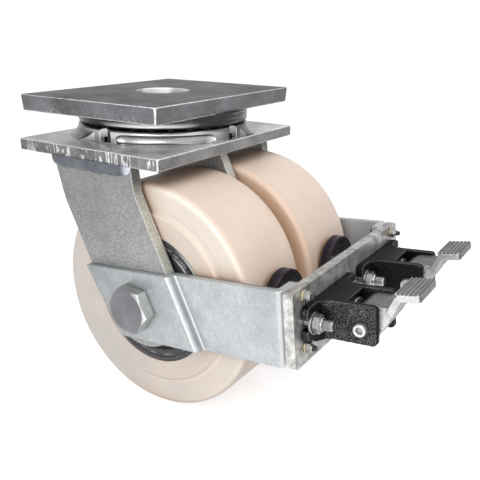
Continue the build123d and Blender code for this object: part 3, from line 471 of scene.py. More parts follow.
def race_steel(name, dark, polished, rim, first_lit, lip, towards=(0.5, -0.87, 0.0)):
    """Polished zinc of a race ring: dark walls, and a painted reflection in a bright band where they face this
    way.

    rim holds the heights between which the painted band grows from none to full,
    first_lit is how squarely a wall must face to be painted lit, and lip
    the least and the most highlight painted on its edges.
    """
    material, where, normal = new_material(name)
    skin = use_group(where, "Zinc skin", Vector=where, Cloud_scale=60.0, Fleck_scale=1600.0)
    wear = worn_edges(where, 0.0009)
    facing, level = normal.dot(towards), where.part("Z")
    tone = skin["Clouds"].between(shade(dark, 0.8), shade(dark, 1.25))
    # Painted reflection: a bright band on the walls that face towards, growing between the rim heights.
    tone = tone.paint(facing.ramp(first_lit, 0.99) * level.ramp(*rim), shade(polished))
    streaks = where.stretched((30.0, 30.0, 700.0)).noise()
    tone = tone.paint(streaks.ramp(0.56, 0.70, 0.0, 0.22), shade(polished, 0.85))
    # The walls of the four notches, which lie across the axes, darken towards the foot.
    from_axis = where.stretched(FROM_KINGPIN).vector("LENGTH")
    across = abs(where.part("X")).math("MINIMUM", abs(where.part("Y")))
    notch = from_axis.ramp(RACE_RADIUS - 0.0002, RACE_RADIUS - 0.0006) * across.ramp(0.0075, 0.0065)
    wall = notch * abs(normal.part("Z")).ramp(0.5, 0.3)
    wall = wall * level.ramp(rim[1] + 0.005, rim[1] - 0.004, 0.30, 0.97)
    tone = tone.paint(wall, (0.02, 0.016, 0.012, 1.0))
    # Painted shade: the hollows are darkened where they see little of the surroundings.
    tone = tone.paint(open_sky(where, 0.009).ramp(0.45, 0.20, 0.0, 0.75), (0.012, 0.011, 0.010, 1.0))
    # Painted highlight: the edges that face towards are painted bright.
    tone = tone.paint(wear["Mask"] * facing.ramp(first_lit - 0.2, 0.97, *lip), (0.95, 0.96, 0.96, 1.0))
    return finish(material, {
        "Base Color": tone, "Metallic": 0.75,
        "Roughness": skin["Clouds"].levels(0.30, 0.20),
        "Normal": skin["Flecks"].bump(0.15, 0.0001, wear["Normal"]),
    })


def nylon(name, base, shadow):
    """Cast nylon: soft light through the skin, faint clouds, hairline turning marks and dust.

    The turned sides carry a grey coat, partly dust that the rolling tread has lost
    and partly painted shade, heaviest towards the front and bottom; hollows that
    little light reaches are painted brown as shade.
    """
    material, where, normal = new_material(name)
    wear = worn_edges(where, 0.0016)
    side = use_group(where, "Facing", Normal=normal)["Axle"]
    clouds = where.noise(24.0, 5.0, 0.62).ramp(0.34, 0.66)
    # Painted shade, partly dust: a grey coat on the sides, heaviest towards the front and bottom.
    film = where.along((1.0, 0.0, 0.6), -0.13, 0.06, 1.0, 0.12)
    tone = clouds.between(shade(base, 0.95), shade(base, 1.04))
    tone = tone.paint(side * film * clouds.levels(0.95, 0.6), (0.64, 0.61, 0.585, 1.0))
    # Painted highlight: the turned rings and the shoulders of the outer sides are painted paler.
    hub = where.stretched(FROM_AXLE).vector("DISTANCE", AXLE_LINE)
    pale = hub.near(0.0775, 0.0045, 0.0005).most(hub.ramp(0.089, 0.096))
    pale = pale.most(hub.ramp(0.078, 0.084, 0.0, 0.6))
    from_middle = abs(where.part("Y"))
    pale = pale * film.rest() * side * from_middle.ramp(0.045, 0.055)
    # Painted shade: the sides that face each other are painted brown, for light that reaches them through the
    # nylon.
    inner = from_middle.ramp(0.022, 0.012, 0.0, 0.75) * hub.ramp(0.105, 0.09)
    tone = tone.paint(inner, (0.68, 0.42, 0.245, 1.0)).paint(pale * 0.8, (1.0, 0.95, 0.85, 1.0))
    # Painted shade: the tread is darkened a little against the sides.
    tone = mixed(where.tree, side.rest(), tone, (0.91, 0.895, 0.885, 1.0), "MULTIPLY")
    tone = tone.paint(where.noise(520.0, 2.0).ramp(0.66, 0.74, 0.0, 0.30), shade(base, 0.84))
    scuffs = where.stretched((700.0, 60.0, 60.0), (0.2, 0.5, 0.9)).noise()
    tone = tone.paint(scuffs.ramp(0.66, 0.76, 0.0, 0.30), (0.62, 0.57, 0.54, 1.0))
    # Painted shade: hollows that see little of the surroundings go warm brown, and the deepest dark brown.
    sky = open_sky(where, 0.022)
    tone = tone.paint(sky.ramp(0.90, 0.55, 0.0, 0.55), shade([math.sqrt(share) for share in shadow]))
    tone = tone.paint(sky.ramp(0.55, 0.15), shade(shadow))
    return finish(material, {
        "Base Color": tone, "Roughness": clouds.levels(0.34, 0.46),
        "Subsurface Weight": 0.25, "Subsurface Radius": (1.0, 0.62, 0.40), "Subsurface Scale": 0.006,
        "Normal": where.noise(900.0, 2.0).bump(0.12, 0.00008, wear["Normal"]),
    })


def black_casting(name, base, tops, rim):
    """Black painted casting: speckled sides whose grain tops are painted light, partly as worn paint and partly
    as highlight, and a smooth charcoal upper face.
    """
    material, where, normal = new_material(name)
    grain = use_group(where, "Cast grain", Vector=where, Scale=1500.0)
    wear = worn_edges(where, 0.0008)
    facing = use_group(where, "Facing", Normal=normal)
    patches = where.noise(60.0).ramp(0.35, 0.65, 0.55, 1.0)
    tone = facing["Up"].between(shade(base, 0.9), shade(base, 0.75))
    # Painted highlight, partly worn paint: the grain tops on the sides are painted light in patches.
    tone = tone.paint(grain["Tops"] * (facing["Axle"] * patches), shade(tops))
    # Painted highlight, partly wear: the ridges and the edges are painted paler.
    tone = tone.paint(raised(where, 0.52, 0.57, 0.9).most(wear["Mask"] * 0.4), shade(rim))
    # Painted shade: the hollows and the places round the nuts are painted near black.
    tone = tone.paint(open_sky(where, 0.014).ramp(0.80, 0.40, 0.0, 0.92), grey(0.002))
    height = grain["Height"] * facing["Axle"].levels(0.15, 1.0)
    return finish(material, {
        "Base Color": tone, "Specular IOR Level": 0.07,
        "Roughness": grain["Height"].ramp(0.2, 0.6, 0.42, 0.62),
        "Normal": height.bump(0.9, 0.0003, wear["Normal"]),
    })


def cap_gleam(where, tone, base):
    """A hub cap's colour with pale turning rings, a groove painted dark as shade with bright ribs, and two
    crescents of painted highlight.
    """
    spoke = where.stretched(FROM_AXLE).vector("SUBTRACT", AXLE_LINE, "Vector")
    reach = spoke.vector("LENGTH")
    tone = tone.paint((reach * 3200.0).math("SINE").ramp(0.2, 0.9, 0.0, 0.35), shade(base, 3.4))
    groove = reach.hump(0.0508, 0.0512, 0.0526, 0.0530)
    # Painted shade: the groove is painted dark.
    tone = tone.paint(groove * 0.8, shade(base, 0.25))
    turn = spoke.part("Z").math("ARCTAN2", spoke.part("X"))
    ribs = (turn * 200.0).math("SINE").ramp(0.1, 0.6) * groove * where.noise(160.0, 2.0).ramp(0.42, 0.56)
    tone = tone.paint(ribs * 0.8, (0.62, 0.62, 0.64, 1.0))
    # Painted highlight: two crescents on the rings, the stronger towards the rear and up, the fainter towards
    # the front and down.
    heading = spoke.vector("NORMALIZE", output="Vector")
    upper, lower = (heading.dot((0.83 * way, 0.0, 0.55 * way)).ramp(0.88, 0.99) for way in (1, -1))
    soft = reach.ramp(0.040, 0.048, 0.0, 0.22) * reach.ramp(0.0508, 0.0500)
    bands = reach.near(0.0487, 0.0016, 0.0006).most(reach.near(0.0568, 0.0009, 0.0003)).most(soft)
    return tone.paint(upper.most(lower * 0.5) * bands * 0.9, grey(0.80))


def smooth_black(name, base, rough, level, dust, rim=5.0, gleam=False):
    """Moulded black rubber or plastic with a little dust and paler edges.

    level is how strongly it mirrors, and gleam adds a hub cap's rings and painted highlights.
    """
    material, where, _ = new_material(name)
    wear = worn_edges(where, 0.0006)
    cloud = where.noise(90.0, 5.0, 0.65).ramp(0.42, 0.66)
    # Painted highlight, partly wear: the edges are painted paler by rim.
    tone = (cloud * dust).between(shade(base), shade(base, 3.0)).paint(wear["Mask"] * 0.55, shade(base, rim))
    if gleam:
        tone = cap_gleam(where, tone, base)
    return finish(material, {
        "Base Color": tone, "Specular IOR Level": level,
        "Roughness": cloud.levels(rough - 0.06, rough + 0.12),
        "Normal": where.noise(1500.0, 2.0).bump(0.2, 0.0001, wear["Normal"]),
    })


def dress(material, *names):
    """Give CAD nodes this finish."""
    for name in names:
        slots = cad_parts[name].data.materials
        slots.clear()
        slots.append(material)


# Surface building.
def unit(vector):
    """Vector of length one."""
    vector = np.asarray(vector, float)
    return vector / np.linalg.norm(vector)


def axis_frame(origin, first, second):
    """Origin, axis and two directions square to it, right-handed."""
    first, second = unit(first), unit(second)
    return np.asarray(origin, float), np.cross(first, second), first, second


def around_axis(where, along, radius, angles):
    """Points at a distance along an axis and at a radius and an angle around it.

    along and radius broadcast to rings by angles: origin + along * axis
    + radius * (cos(angle) * first + sin(angle) * second).
    """
    origin, axis, first, second = where
    along, radius, angles = np.broadcast_arrays(along, radius, angles)
    spoke = np.cos(angles)[..., None] * first + np.sin(angles)[..., None] * second
    return origin + along[..., None] * axis + radius[..., None] * spoke


def skin(rings, start=None, end=None, wrap=False):
    """Vertices and faces that join rings of points into a wall.

    Each ring is joined to the next. A start or end point seals that end, and
    wrap joins the last ring to the first.
    """
    count, around = rings.shape[:2]
    points = [rings.reshape(-1, 3)]
    index = np.arange(count * around).reshape(count, around)
    lower = index if wrap else index[:-1]
    upper = np.roll(index, -1, axis=0) if wrap else index[1:]
    quads = np.stack((lower, np.roll(lower, -1, 1), np.roll(upper, -1, 1), upper), axis=-1)
    faces = quads.reshape(-1, 4).tolist()
    tip = count * around
    for point, ring in ((start, index[0]), (end, index[-1][::-1])):
        if point is not None:
            points.append(np.asarray(point, float).reshape(1, 3))
            fan = np.stack((np.roll(ring, -1), ring, np.full(around, tip)), axis=-1)
            faces += fan.tolist()
            tip += 1
    return np.concatenate(points), faces


def joined(shells):
    """One list of points and faces from several."""
    points, faces, offset = [], [], 0
    for shell_points, shell_faces in shells:
        points.append(shell_points)
        faces += [[corner + offset for corner in face] for face in shell_faces]
        offset += len(shell_points)
    return np.concatenate(points), faces


def show(name, shells, material, body, slot, replaced=(), sharp=32.0):
    """Make a piece from shells of points and faces and set it on its body."""
    points, faces = joined(shells)
    mesh = bpy.data.meshes.new(name)
    mesh.from_pydata(points.tolist(), [], faces)
    return place(name, mesh, material, body, slot, replaced, sharp)


def edit(mesh, change):
    """Change a mesh through a BMesh."""
    work = bmesh.new()
    work.from_mesh(mesh)
    change(work)
    work.to_mesh(mesh)
    work.free()


def place(name, mesh, material, body, slot, replaced=(), sharp=32.0):
    """Give a mesh outward normals, its finish, its body and the nodes it stands for."""
    edit(mesh, lambda work: bmesh.ops.recalc_face_normals(work, faces=work.faces))
    mesh.polygons.foreach_set("use_smooth", np.ones(len(mesh.polygons), bool))
    mesh.set_sharp_from_angle(angle=math.radians(sharp))
    mesh.materials.clear()
    mesh.materials.append(material)
    piece = bpy.data.objects.new(name, mesh)
    bpy.context.scene.collection.objects.link(piece)
    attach(piece, body)
    if replaced:
        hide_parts(*replaced)
    return piece


def smoothstep(value, low, high):
    """0 below low, 1 above high and a smooth ramp between."""
    ramp = np.clip((value - low) / (high - low), 0.0, 1.0)
    return ramp * ramp * (3.0 - 2.0 * ramp)


def unevenness(along, seed, first_wave, waves=5):
    """Sum of sine waves of seeded phase, between about -1 and 1.

    along runs from 0 to 1, and wave k has (first_wave * (k + 1) + k * k)
    periods, so a closed outline meets itself.
    """
    chance = np.random.default_rng(seed)
    total = np.zeros_like(along)
    for wave in range(waves):
        periods = first_wave * (wave + 1) + wave * wave
        total += np.sin(2 * np.pi * (periods * along + chance.random())) / (1.0 + 0.6 * wave)
    return total / 2.2


# Fasteners.
FACE_SHARE = 0.475       # radius of a hexagon's flat face over its width across flats
ARRIS = 0.0002           # break of a turned edge


def hexagon(angles, across_flats, corner):
    """Radius of a hexagon at these angles; corner is the angle of one corner."""
    from_flat = np.mod(angles - corner, np.pi / 3) - np.pi / 6
    return across_flats / 2 / np.cos(from_flat)


def hex_profile(turns, across_flats, corner=0.0):
    """Angles round an axis, a hexagon's radius at each, its face's radius and its chamfer's drop.

    The drop is how far a 30 degree cone from the face's circle has come down
    at the hexagon's radius.
    """
    angles = corner + np.linspace(0.0, 2 * np.pi, turns, endpoint=False)
    hexed, face = hexagon(angles, across_flats, corner), across_flats * FACE_SHARE
    return angles, hexed, face, (hexed - face) * math.tan(math.radians(30))


def turned(where, rings, angles, **ends):
    """Shell of rings round an axis frame, each a distance along the axis and a radius.

    Both are a number or one value per angle, and ends are what skin takes.
    """
    along, radius = (np.stack([ring[part] + 0.0 * angles for ring in rings]) for part in (0, 1))
    return skin(around_axis(where, along, radius, angles), **ends)


def thread_rings(start, end, major, pitch, angles, steps=8):
    """Rings of a right-hand thread between two places on an axis.

    The radius falls from the crest to the root as a clipped triangle wave of
    along / pitch - angle / turn, and a 45 degree cone cuts the end.
    """
    direction = 1.0 if end > start else -1.0
    reach = np.arange(0.0, abs(end - start), pitch / steps)[:, None]
    phase = reach / pitch - direction * angles / (2 * np.pi)
    wave = np.abs(2.0 * (phase - np.floor(phase + 0.5)))
    depth = 0.55 * pitch * np.clip((wave - 0.15) / 0.7, 0.0, 1.0)
    cone = major - 0.9 * pitch + (abs(end - start) - reach)
    radius = np.minimum(major - depth * np.clip(reach / pitch, 0.0, 1.0), cone)
    return start + direction * np.broadcast_to(reach, radius.shape), radius


def bolt(where, across_flats, head, shank, thread_from, end, pitch, corner=0.0, turns=96):
    """Shell of a hexagonal bolt whose head rises along the axis and whose shank runs back.

    head is the head's height, shank its radius; thread_from and end are places
    on the axis below the seat. The head is a hexagon cut by a 30 degree cone.
    """
    angles, hexed, face, drop = hex_profile(turns, across_flats, corner)
    rings = [(head, face * 0.5), (head, face * 0.98), (head - ARRIS / 2, face), (head - drop, hexed),
             (ARRIS, hexed), (0.0, hexed - ARRIS), (0.0, shank), (thread_from, shank),
             *zip(*thread_rings(thread_from, end, shank, pitch, angles)), (end, shank - 0.9 * pitch)]
    origin, axis = where[:2]
    return turned(where, rings, angles, start=origin + axis * head, end=origin + axis * end)


def washer(where, radius, thick, bore, turns=48):
    """Shell of a flat washer with a rounded rim, seated at the axis frame's origin."""
    bend = 0.3 * thick
    rings = [(0.0, bore), (0.0, radius - bend), (bend, radius), (thick - bend, radius),
             (thick, radius - bend), (thick, bore)]
    return turned(where, rings, np.linspace(0.0, 2 * np.pi, turns, endpoint=False), wrap=True)


def nut(where, across_flats, height, bore, corner=0.0, turns=96, collar=0.0):
    """Shell of a hexagonal nut seated at the axis frame's origin, chamfered on both faces.

    collar is the radius of the round collar that takes the outer quarter of a
    locking nut's height.
    """
    angles, hexed, face, drop = hex_profile(turns, across_flats, corner)
    top = height * 0.72 if collar else height
    rings = [(0.0, bore), (0.0, face), (drop, hexed), (top - drop, hexed), (top, face)]
    if collar:
        bend = 0.12 * height
        rings += [(top, collar), (height - bend, collar), (height - bend * 0.3, collar - bend * 0.3),
                  (height, collar - bend)]
    rings += [(height, bore + 2 * ARRIS), (height - 2 * ARRIS, bore)]
    return turned(where, rings, angles, wrap=True)


def socket_screw(where, head_radius, head, shank, end, socket, depth, turns=72):
    """Shell of a round-headed screw with a hexagonal socket in its head.

    The rings run from the socket's floor up its hexagonal wall, over a narrow
    cone and the head's rounded rim, and down the shank to its end.
    """
    angles, hexed, _, _ = hex_profile(turns, socket)
    rim, floor, point = 0.0007, 0.0003, 0.0005
    rings = [(head - depth, hexed * 0.98), (head - 2 * ARRIS, hexed), (head, socket * 0.62)]
    for turn in np.linspace(0.0, np.pi / 2, 5):
        rings.append((head - rim * (1 - math.cos(turn)), head_radius - rim * (1 - math.sin(turn))))
    rings += [(0.0, head_radius), (0.0, shank), (end + point, shank), (end, shank - point)]
    origin, axis = where[:2]
    return turned(where, rings, angles, start=origin + axis * (head - depth - floor), end=origin + axis * end)


def on_arm(u, y, v):
    """Point in the row frame from distances along, across and above the brake arms."""
    return AXLE + ALONG_ARM * u + ACROSS * y + UP_ARM * v


def rearward(u, y, v):
    """Axis frame that points to the rear along the arms."""
    return axis_frame(on_arm(u, y, v), ACROSS, UP_ARM)


def forward(u, y, v):
    """Axis frame that points to the wheels along the arms."""
    return axis_frame(on_arm(u, y, v), UP_ARM, ACROSS)


# Plates and welds.
def rounded_rectangle(width, depth, corners, count):
    """Outline of a rectangle with its own radius at each corner, its normals and its arc length.

    The corners go round from (+x, +y). A side is a straight blend between the
    ends of two corner arcs, and an arc is its centre plus its radius times a
    normal that sweeps a quarter turn. The arc length runs from 0 to 1.
    """
    radii = np.roll(np.asarray(corners, float), 1)
    signs = np.array(((1, -1), (1, 1), (-1, 1), (-1, -1)), float)
    centres = signs * (np.array((width / 2, depth / 2)) - radii[:, None])
    side_normals = np.array(((1, 0), (0, 1), (-1, 0), (0, -1)), float)
    starts = centres + side_normals * radii[:, None]
    ends = np.roll(centres, -1, axis=0) + side_normals * np.roll(radii, -1)[:, None]
    straight = np.linalg.norm(ends - starts, axis=1)
    arcs = np.roll(radii, -1) * np.pi / 2
    stops = np.concatenate(((0.0,), np.cumsum(np.stack((straight, arcs), axis=1).ravel())))
    along = np.linspace(0.0, stops[-1], count, endpoint=False)
    part = np.searchsorted(stops, along, side="right") - 1
    share = (along - stops[part]) / (stops[part + 1] - stops[part])
    side, on_arc = part // 2, part % 2 == 1
    angle = (side + np.where(on_arc, share, 0.0)) * np.pi / 2
    normal = np.stack((np.cos(angle), np.sin(angle)), axis=-1)
    flat = starts[side] + (ends[side] - starts[side]) * share[:, None]
    turned = np.roll(centres, -1, axis=0)[side] + normal * np.roll(radii, -1)[side][:, None]
    return np.where(on_arc[:, None], turned, flat), normal, along / stops[-1]


def slab(box, corners, edge, bore, wave, lean=0.0, tear=0.0, seed=1, count=960):
    """Shell of a flat bar with sheared sides and a round bore through its middle.

    Each ring follows the rounded rectangle, drawn in by the edge rounding at
    the top and bottom faces, by the sides' lean and by their unevenness; tear
    is the depth between narrow upright ridges on the side that faces -Y.
    """
    low, high = (np.array(end) for end in box)
    outline, normal, along = rounded_rectangle(high[0] - low[0], high[1] - low[1], corners, count)
    bore_angle = np.arctan2(outline[:, 1], outline[:, 0])
    inner = bore * np.stack((np.cos(bore_angle), np.sin(bore_angle)), axis=-1)
    sway = wave * (0.5 + 0.5 * unevenness(along, seed, 7))
    ridges = smoothstep(unevenness(along, seed + 3, 61, 7), 0.1, 0.75)
    folds = tear * (1.0 - ridges) * smoothstep(-normal[:, 1], 0.5, 0.9)
    thick = high[2] - low[2]
    turn = np.linspace(0.0, np.pi / 2, 5)
    below = [(edge * (1.0 - np.cos(step)), edge * (1.0 - np.sin(step)), 0.0) for step in turn]
    middle = [(thick * share, 0.0, math.sin(math.pi * share)) for share in np.linspace(0.15, 0.85, 5)]
    above = [(thick - rise, draw, 0.0) for rise, draw, _ in reversed(below)]
    rings = [np.column_stack((inner, np.full(count, low[2])))]
    for rise, draw, fold in below + middle + above:
        inset = draw + lean * (1.0 - rise / thick) + sway + folds * fold
        rings.append(np.column_stack((outline - normal * inset[:, None], np.full(count, low[2] + rise))))
    rings.append(np.column_stack((inner * 1.02, np.full(count, high[2]))))
    rings.append(np.column_stack((inner, np.full(count, high[2] - bore * 0.02))))
    return skin(np.stack(rings), wrap=True)


def weld_bead(start, end, out, drop, reach_out, reach_down, seed, count=260):
    """Shell of a fillet weld laid from start to end in the corner under a plate.

    Across it runs a quarter of a rounded square from the plate's lower edge,
    which it covers, to the leg. Along it the lower edge wanders in long waves,
    faint scallops follow the welder's steps, and both ends close roundly.
    """
    start, end, out, drop = (np.asarray(vector, float) for vector in (start, end, out, drop))
    along = np.linspace(0.0, 1.0, count)
    run = np.linalg.norm(end - start)
    close = np.sqrt(np.clip(1.0 - np.abs(2.0 * along - 1.0) ** (run / reach_down), 0.0, 1.0))
    scallop = np.abs(np.sin(np.pi * along * run / 0.0055))
    down = reach_down * close * (0.86 + 0.11 * unevenness(along, seed, 2, 3) + 0.01 * scallop)
    away = reach_out * close * (0.88 + 0.05 * unevenness(along, seed + 1, 3, 3) + 0.02 * scallop)
    across = np.linspace(0.0, np.pi / 2, 11)
    bulge = 0.62
    profile_out = np.concatenate(((-0.12,), np.cos(across) ** bulge, (-0.12,)))
    profile_down = np.concatenate(((-0.09,), np.sin(across) ** bulge * 1.09 - 0.09, (1.0,)))
    line = start + (end - start) * along[:, None]
    rings = (line[:, None, :] + away[:, None, None] * profile_out[None, :, None] * out
             + down[:, None, None] * profile_down[None, :, None] * drop)
    return skin(rings[1:-1], start, end)


# Caps and castings.
def cap_shell(centre_y, outward):
    """Shell of one hub cap, a height over the radius turned about the axle.

    The height is the rim's level, less smooth steps for the groove, the ring
    and the dish, plus fine radial ribs in the groove.
    """
    seat, face = 0.0375, 0.042
    edges = np.array((24.0, 30.0, 38.0, 43.5, 44.5, 45.4, 46.2, 47.0, 47.8, 48.4, 49.6, 50.6, 51.2, 51.6,
                      52.0, 52.8, 53.5, 53.9, 54.3, 55.0, 56.4, 57.3, 57.7, 57.9, 58.0)) * 0.001
    angles = np.linspace(0.0, 2 * np.pi, 432, endpoint=False)
    radius = edges[:, None] + 0.0 * angles

    def within(low, high):
        return 1.0 - smoothstep(radius, low, high)

    dish = 0.0026 * within(0.0448, 0.0482) + 0.0009 * within(0.024, 0.044)
    groove = 0.0011 * smoothstep(radius, 0.0510, 0.0516) * within(0.0535, 0.0541)
    ribs = 0.00035 * (groove > 0.001) * (np.sin(144 * angles) > 0.2)
    ring = 0.0006 * within(0.0510, 0.0518)
    edge = 0.0009 * smoothstep(radius, 0.0569, 0.0580) ** 2
    height = face - dish - groove + ribs - ring - edge
    back = np.array([[0.058], [0.024]]) + 0.0 * angles
    along = np.concatenate((height, np.full_like(back, seat)))
    spokes = ((1, 0, 0), (0, 0, 1))[::-outward]
    where = axis_frame(AXLE + ACROSS * centre_y, *spokes)
    return skin(around_axis(where, along, np.concatenate((radius, back)), angles), wrap=True)


def cast_copy(name, node_name, grain, ripple, seed, material, body, slot):
    """Casting made from a CAD node: remeshed finely, its edges worn round and its skin rippled.

    The ripple moves each point along its normal by the product of three sine
    waves of the point's coordinates, with seeded phases.
    """
    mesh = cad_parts[node_name].data.copy()
    edit(mesh, lambda work: bmesh.ops.remove_doubles(work, verts=work.verts, dist=0.000002))
    rough = bpy.data.objects.new(name, mesh)
    bpy.context.scene.collection.objects.link(rough)
    remesh = rough.modifiers.new("even skin", "REMESH")
    remesh.mode = "VOXEL"
    remesh.voxel_size = grain
    worn = rough.modifiers.new("worn edges", "SMOOTH")
    worn.factor = 0.5
    worn.iterations = 3
    bpy.context.view_layer.update()
    made = bpy.data.meshes.new_from_object(rough.evaluated_get(bpy.context.evaluated_depsgraph_get()))
    bpy.data.objects.remove(rough)
    points = np.empty(len(made.vertices) * 3)
    normals = np.empty(len(made.vertices) * 3)
    made.vertices.foreach_get("co", points)
    made.vertices.foreach_get("normal", normals)
    points, normals = points.reshape(-1, 3), normals.reshape(-1, 3)
    phases = np.random.default_rng(seed).random((3, 3)) * 2 * np.pi
    waves = sum(np.prod(np.sin(points * (2 * np.pi / size) + phase), axis=1)
                for size, phase in zip((0.011, 0.0061, 0.0037), phases))
    points -= normals * (ripple * (0.5 + 0.25 * waves))[:, None]
    made.vertices.foreach_set("co", points.ravel())
    return place(name, made, material, body, slot, (node_name,), 60.0)


# Sizes and places of the pieces built here, in metres.
RECESS = 0.0245          # bore of the mounting plate
CORNER_LIT = (6.0, -3.0, 0.0)
AXLE_SEAT = 0.111        # how far the seats of the axle's bolt and nut lie from the middle
FRAME_ROWS = (0.0235, -0.0168)
STUD_ROW, PIVOT_ROW = 0.0025, -0.003
TOP_PLATE = dict(corners=(0.0024,) * 4, edge=0.0011, bore=RECESS, wave=0.0002, lean=0.00122, tear=0.00005,
                 seed=4)
FORK_PLATE = dict(corners=(0.0018, 0.0018, 0.004, 0.0018), edge=0.0010, bore=0.02105, wave=0.0003,
                  tear=0.0003, seed=9)
KINGPIN_NUT = dict(across_flats=0.036, bore=0.01205)
AXLE_BOLT = dict(across_flats=0.036, head=0.0125, shank=0.012, thread_from=-0.216, end=-0.2485, pitch=0.003,
                 corner=math.radians(55.6))
AXLE_NUT = dict(across_flats=0.036, height=0.0215, bore=0.01205, corner=math.radians(30))
FRAME_BOLT = dict(across_flats=0.0074, head=0.003, shank=0.0021, thread_from=-0.014, end=-0.0246,
                  pitch=0.0007, corner=math.radians(30), turns=48)
FRAME_NUT = dict(across_flats=0.0074, height=0.005, bore=0.00215, turns=48, collar=0.0030)
FRAME_WASHER = dict(radius=0.0044, thick=0.0016, bore=0.00215)
UNIT_STUD = dict(across_flats=0.013, head=0.0053, shank=0.004, pitch=0.00125, corner=math.radians(30),
                 turns=48)
UNIT_NUT = dict(across_flats=0.013, height=0.0072, bore=0.00405, turns=48, collar=0.0053)
PIVOT_SCREW = dict(head_radius=0.0049, head=0.0036, shank=0.004, end=-0.0428, socket=0.005, depth=0.0022)


def fasten(name, shells, material, node_name, slot="zinc_fastener", sharp=25.0):
    """Show turned fasteners of the fork in place of a node."""
    show(name, shells, material, "fork_body", slot, (node_name,), sharp)


class CASTOR_OT_head(bpy.types.Operator):
    """Build the sheared plates and finish the race rings and the kingpin"""

    bl_idname = "castor.head"
    bl_label = "Swivel Head"

    def execute(self, context):
        tones = context.scene.castor_finish
        edges = dict(edge_radius=tones.worn_edge, brightest=CORNER_LIT)
        # Painted light and shade: the mounting plate's top is painted a little lighter, its other faces a
        # little darker.
        plate = zinc("mounting plate zinc", tones.plate_zinc, 0.75, 0.44, 0.32, 0.16,
                     faces=(1.14, 0.96, 0.98), rim_gloss=0.2, pits=True, relief=0.5, bore=RECESS,
                     cloud_scale=22.0, drift=((0.7, -0.4, 0.0), -0.08, 0.08, 1.0, 0.98), **edges)
        show("mounting_plate", [slab(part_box("top_plate"), **TOP_PLATE)], plate, "plate_body", "zinc_plate",
             ("top_plate",))
        # Painted light: the fork plate's top is painted much lighter, and its tone ramps lighter towards the
        # rear and the -Y side.
        fork_plate = zinc("fork plate zinc", tones.fork_plate_zinc, 0.55, 0.36, 0.30, 0.14,
                          faces=(2.7, 0.9, 0.85), shear=0.8, cloud_scale=40.0,
                          drift=((0.8, -0.4, 0.0), -0.07, 0.07, 0.50, 1.1), **edges)
        show("fork_plate", [slab(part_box("lower_plate"), **FORK_PLATE)], fork_plate, "fork_body", "zinc_plate",
             ("lower_plate",))
        upper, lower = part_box("upper_race"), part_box("lower_race")
        # Painted shade: the upper race's walls are painted darker than the lower race's.
        dress(race_steel("upper race zinc", [0.45 * share for share in tones.race_dark], tones.race_zinc,
                         (upper[0][2] + 0.006, upper[0][2] + 0.003), 0.84, (0.04, 0.85)), "upper_race")
        dress(race_steel("lower race zinc", tones.race_dark, tones.race_zinc,
                         (lower[0][2] - 0.004, lower[1][2] - 0.006), 0.56, (0.35, 0.9)), "lower_race")
        bright = zinc("kingpin zinc", tones.bright_zinc, 0.9, 0.28, 0.10, 0.04)
        dress(bright, "kingpin", "kingpin_washer")
        low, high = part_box("kingpin_nut")
        seat = axis_frame((0.0, 0.0, low[2]), (1, 0, 0), (0, 1, 0))
        turned_nut = nut(seat, height=high[2] - low[2], **KINGPIN_NUT)
        fasten("kingpin_nut_turned", [turned_nut], bright, "kingpin_nut")
        dress(zinc("bearing steel", tones.bearing_steel, 0.9, 0.22, 0.06, 0.04), "race_balls", "axle_spacers",
              "bearing_inner_rings", "bearing_outer_rings_left", "bearing_outer_rings_right")
        return {"FINISHED"}


class CASTOR_OT_fork(bpy.types.Operator):
    """Finish the fork legs and lay their weld beads"""

    bl_idname = "castor.fork"
    bl_label = "Fork"

    def execute(self, context):
        tones = context.scene.castor_finish
        # Painted light and shade: the legs' edge faces are painted lighter and darker close under the plate,
        # and the legs lighter towards the rear and bottom.
        for name, under_plate, names in (("leg zinc", (-0.060, -0.071, 0.32), ("leg_left", "leg_right")),
                                         ("centre leg zinc", None, ("centre_leg",))):
            dress(zinc(name, tones.leg_zinc, 0.45, 0.46, 0.10, 0.50, 3.2, faces=(1.0, 1.0, 1.5),
                       fleck_scale=2500.0, relief=0.6, tint=(1.02, 1.03, 0.93), edge_radius=0.0013,
                       under=under_plate, drift=((1.0, 0.0, -0.5), -0.02, 0.14, 0.78, 1.22)), *names)
        # Painted highlight: the beads are painted much brighter towards their rear ends.
        bead = zinc("weld skin", tones.weld, 0.6, 0.28, 0.22, 0.04, 1.5, cloud_scale=110.0, relief=0.15,
                    rubs=0.05, drift=((1.0, 0.0, 0.3), 0.0270, 0.0330, 0.98, 4.6))
        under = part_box("lower_plate")[0][2]
        front, rear = (end[0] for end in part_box("leg_welds"))
        down = (0, 0, -1)
        beads = []
        for side, seed in ((-1, 3), (1, 14)):
            for first, last, y, reach, depth, chance in ((-0.0385, 0.0518, 0.104, 0.0029, 0.0100, seed),
                                                         (front, rear, 0.005, 0.0026, 0.0030, seed + 5)):
                beads.append(weld_bead((first, side * y, under), (last, side * y, under), (0, side, 0), down,
                                       reach, depth, chance))
        # The run round the centre leg's rear edge ends in a lump.
        beads.append(weld_bead((rear, -0.0065, under), (rear, 0.0065, under), (1, 0, 0), down, 0.0045, 0.0060,
                               21, 60))
        show("weld_beads", beads, bead, "fork_body", "weld", ("leg_welds",), 60.0)
        return {"FINISHED"}


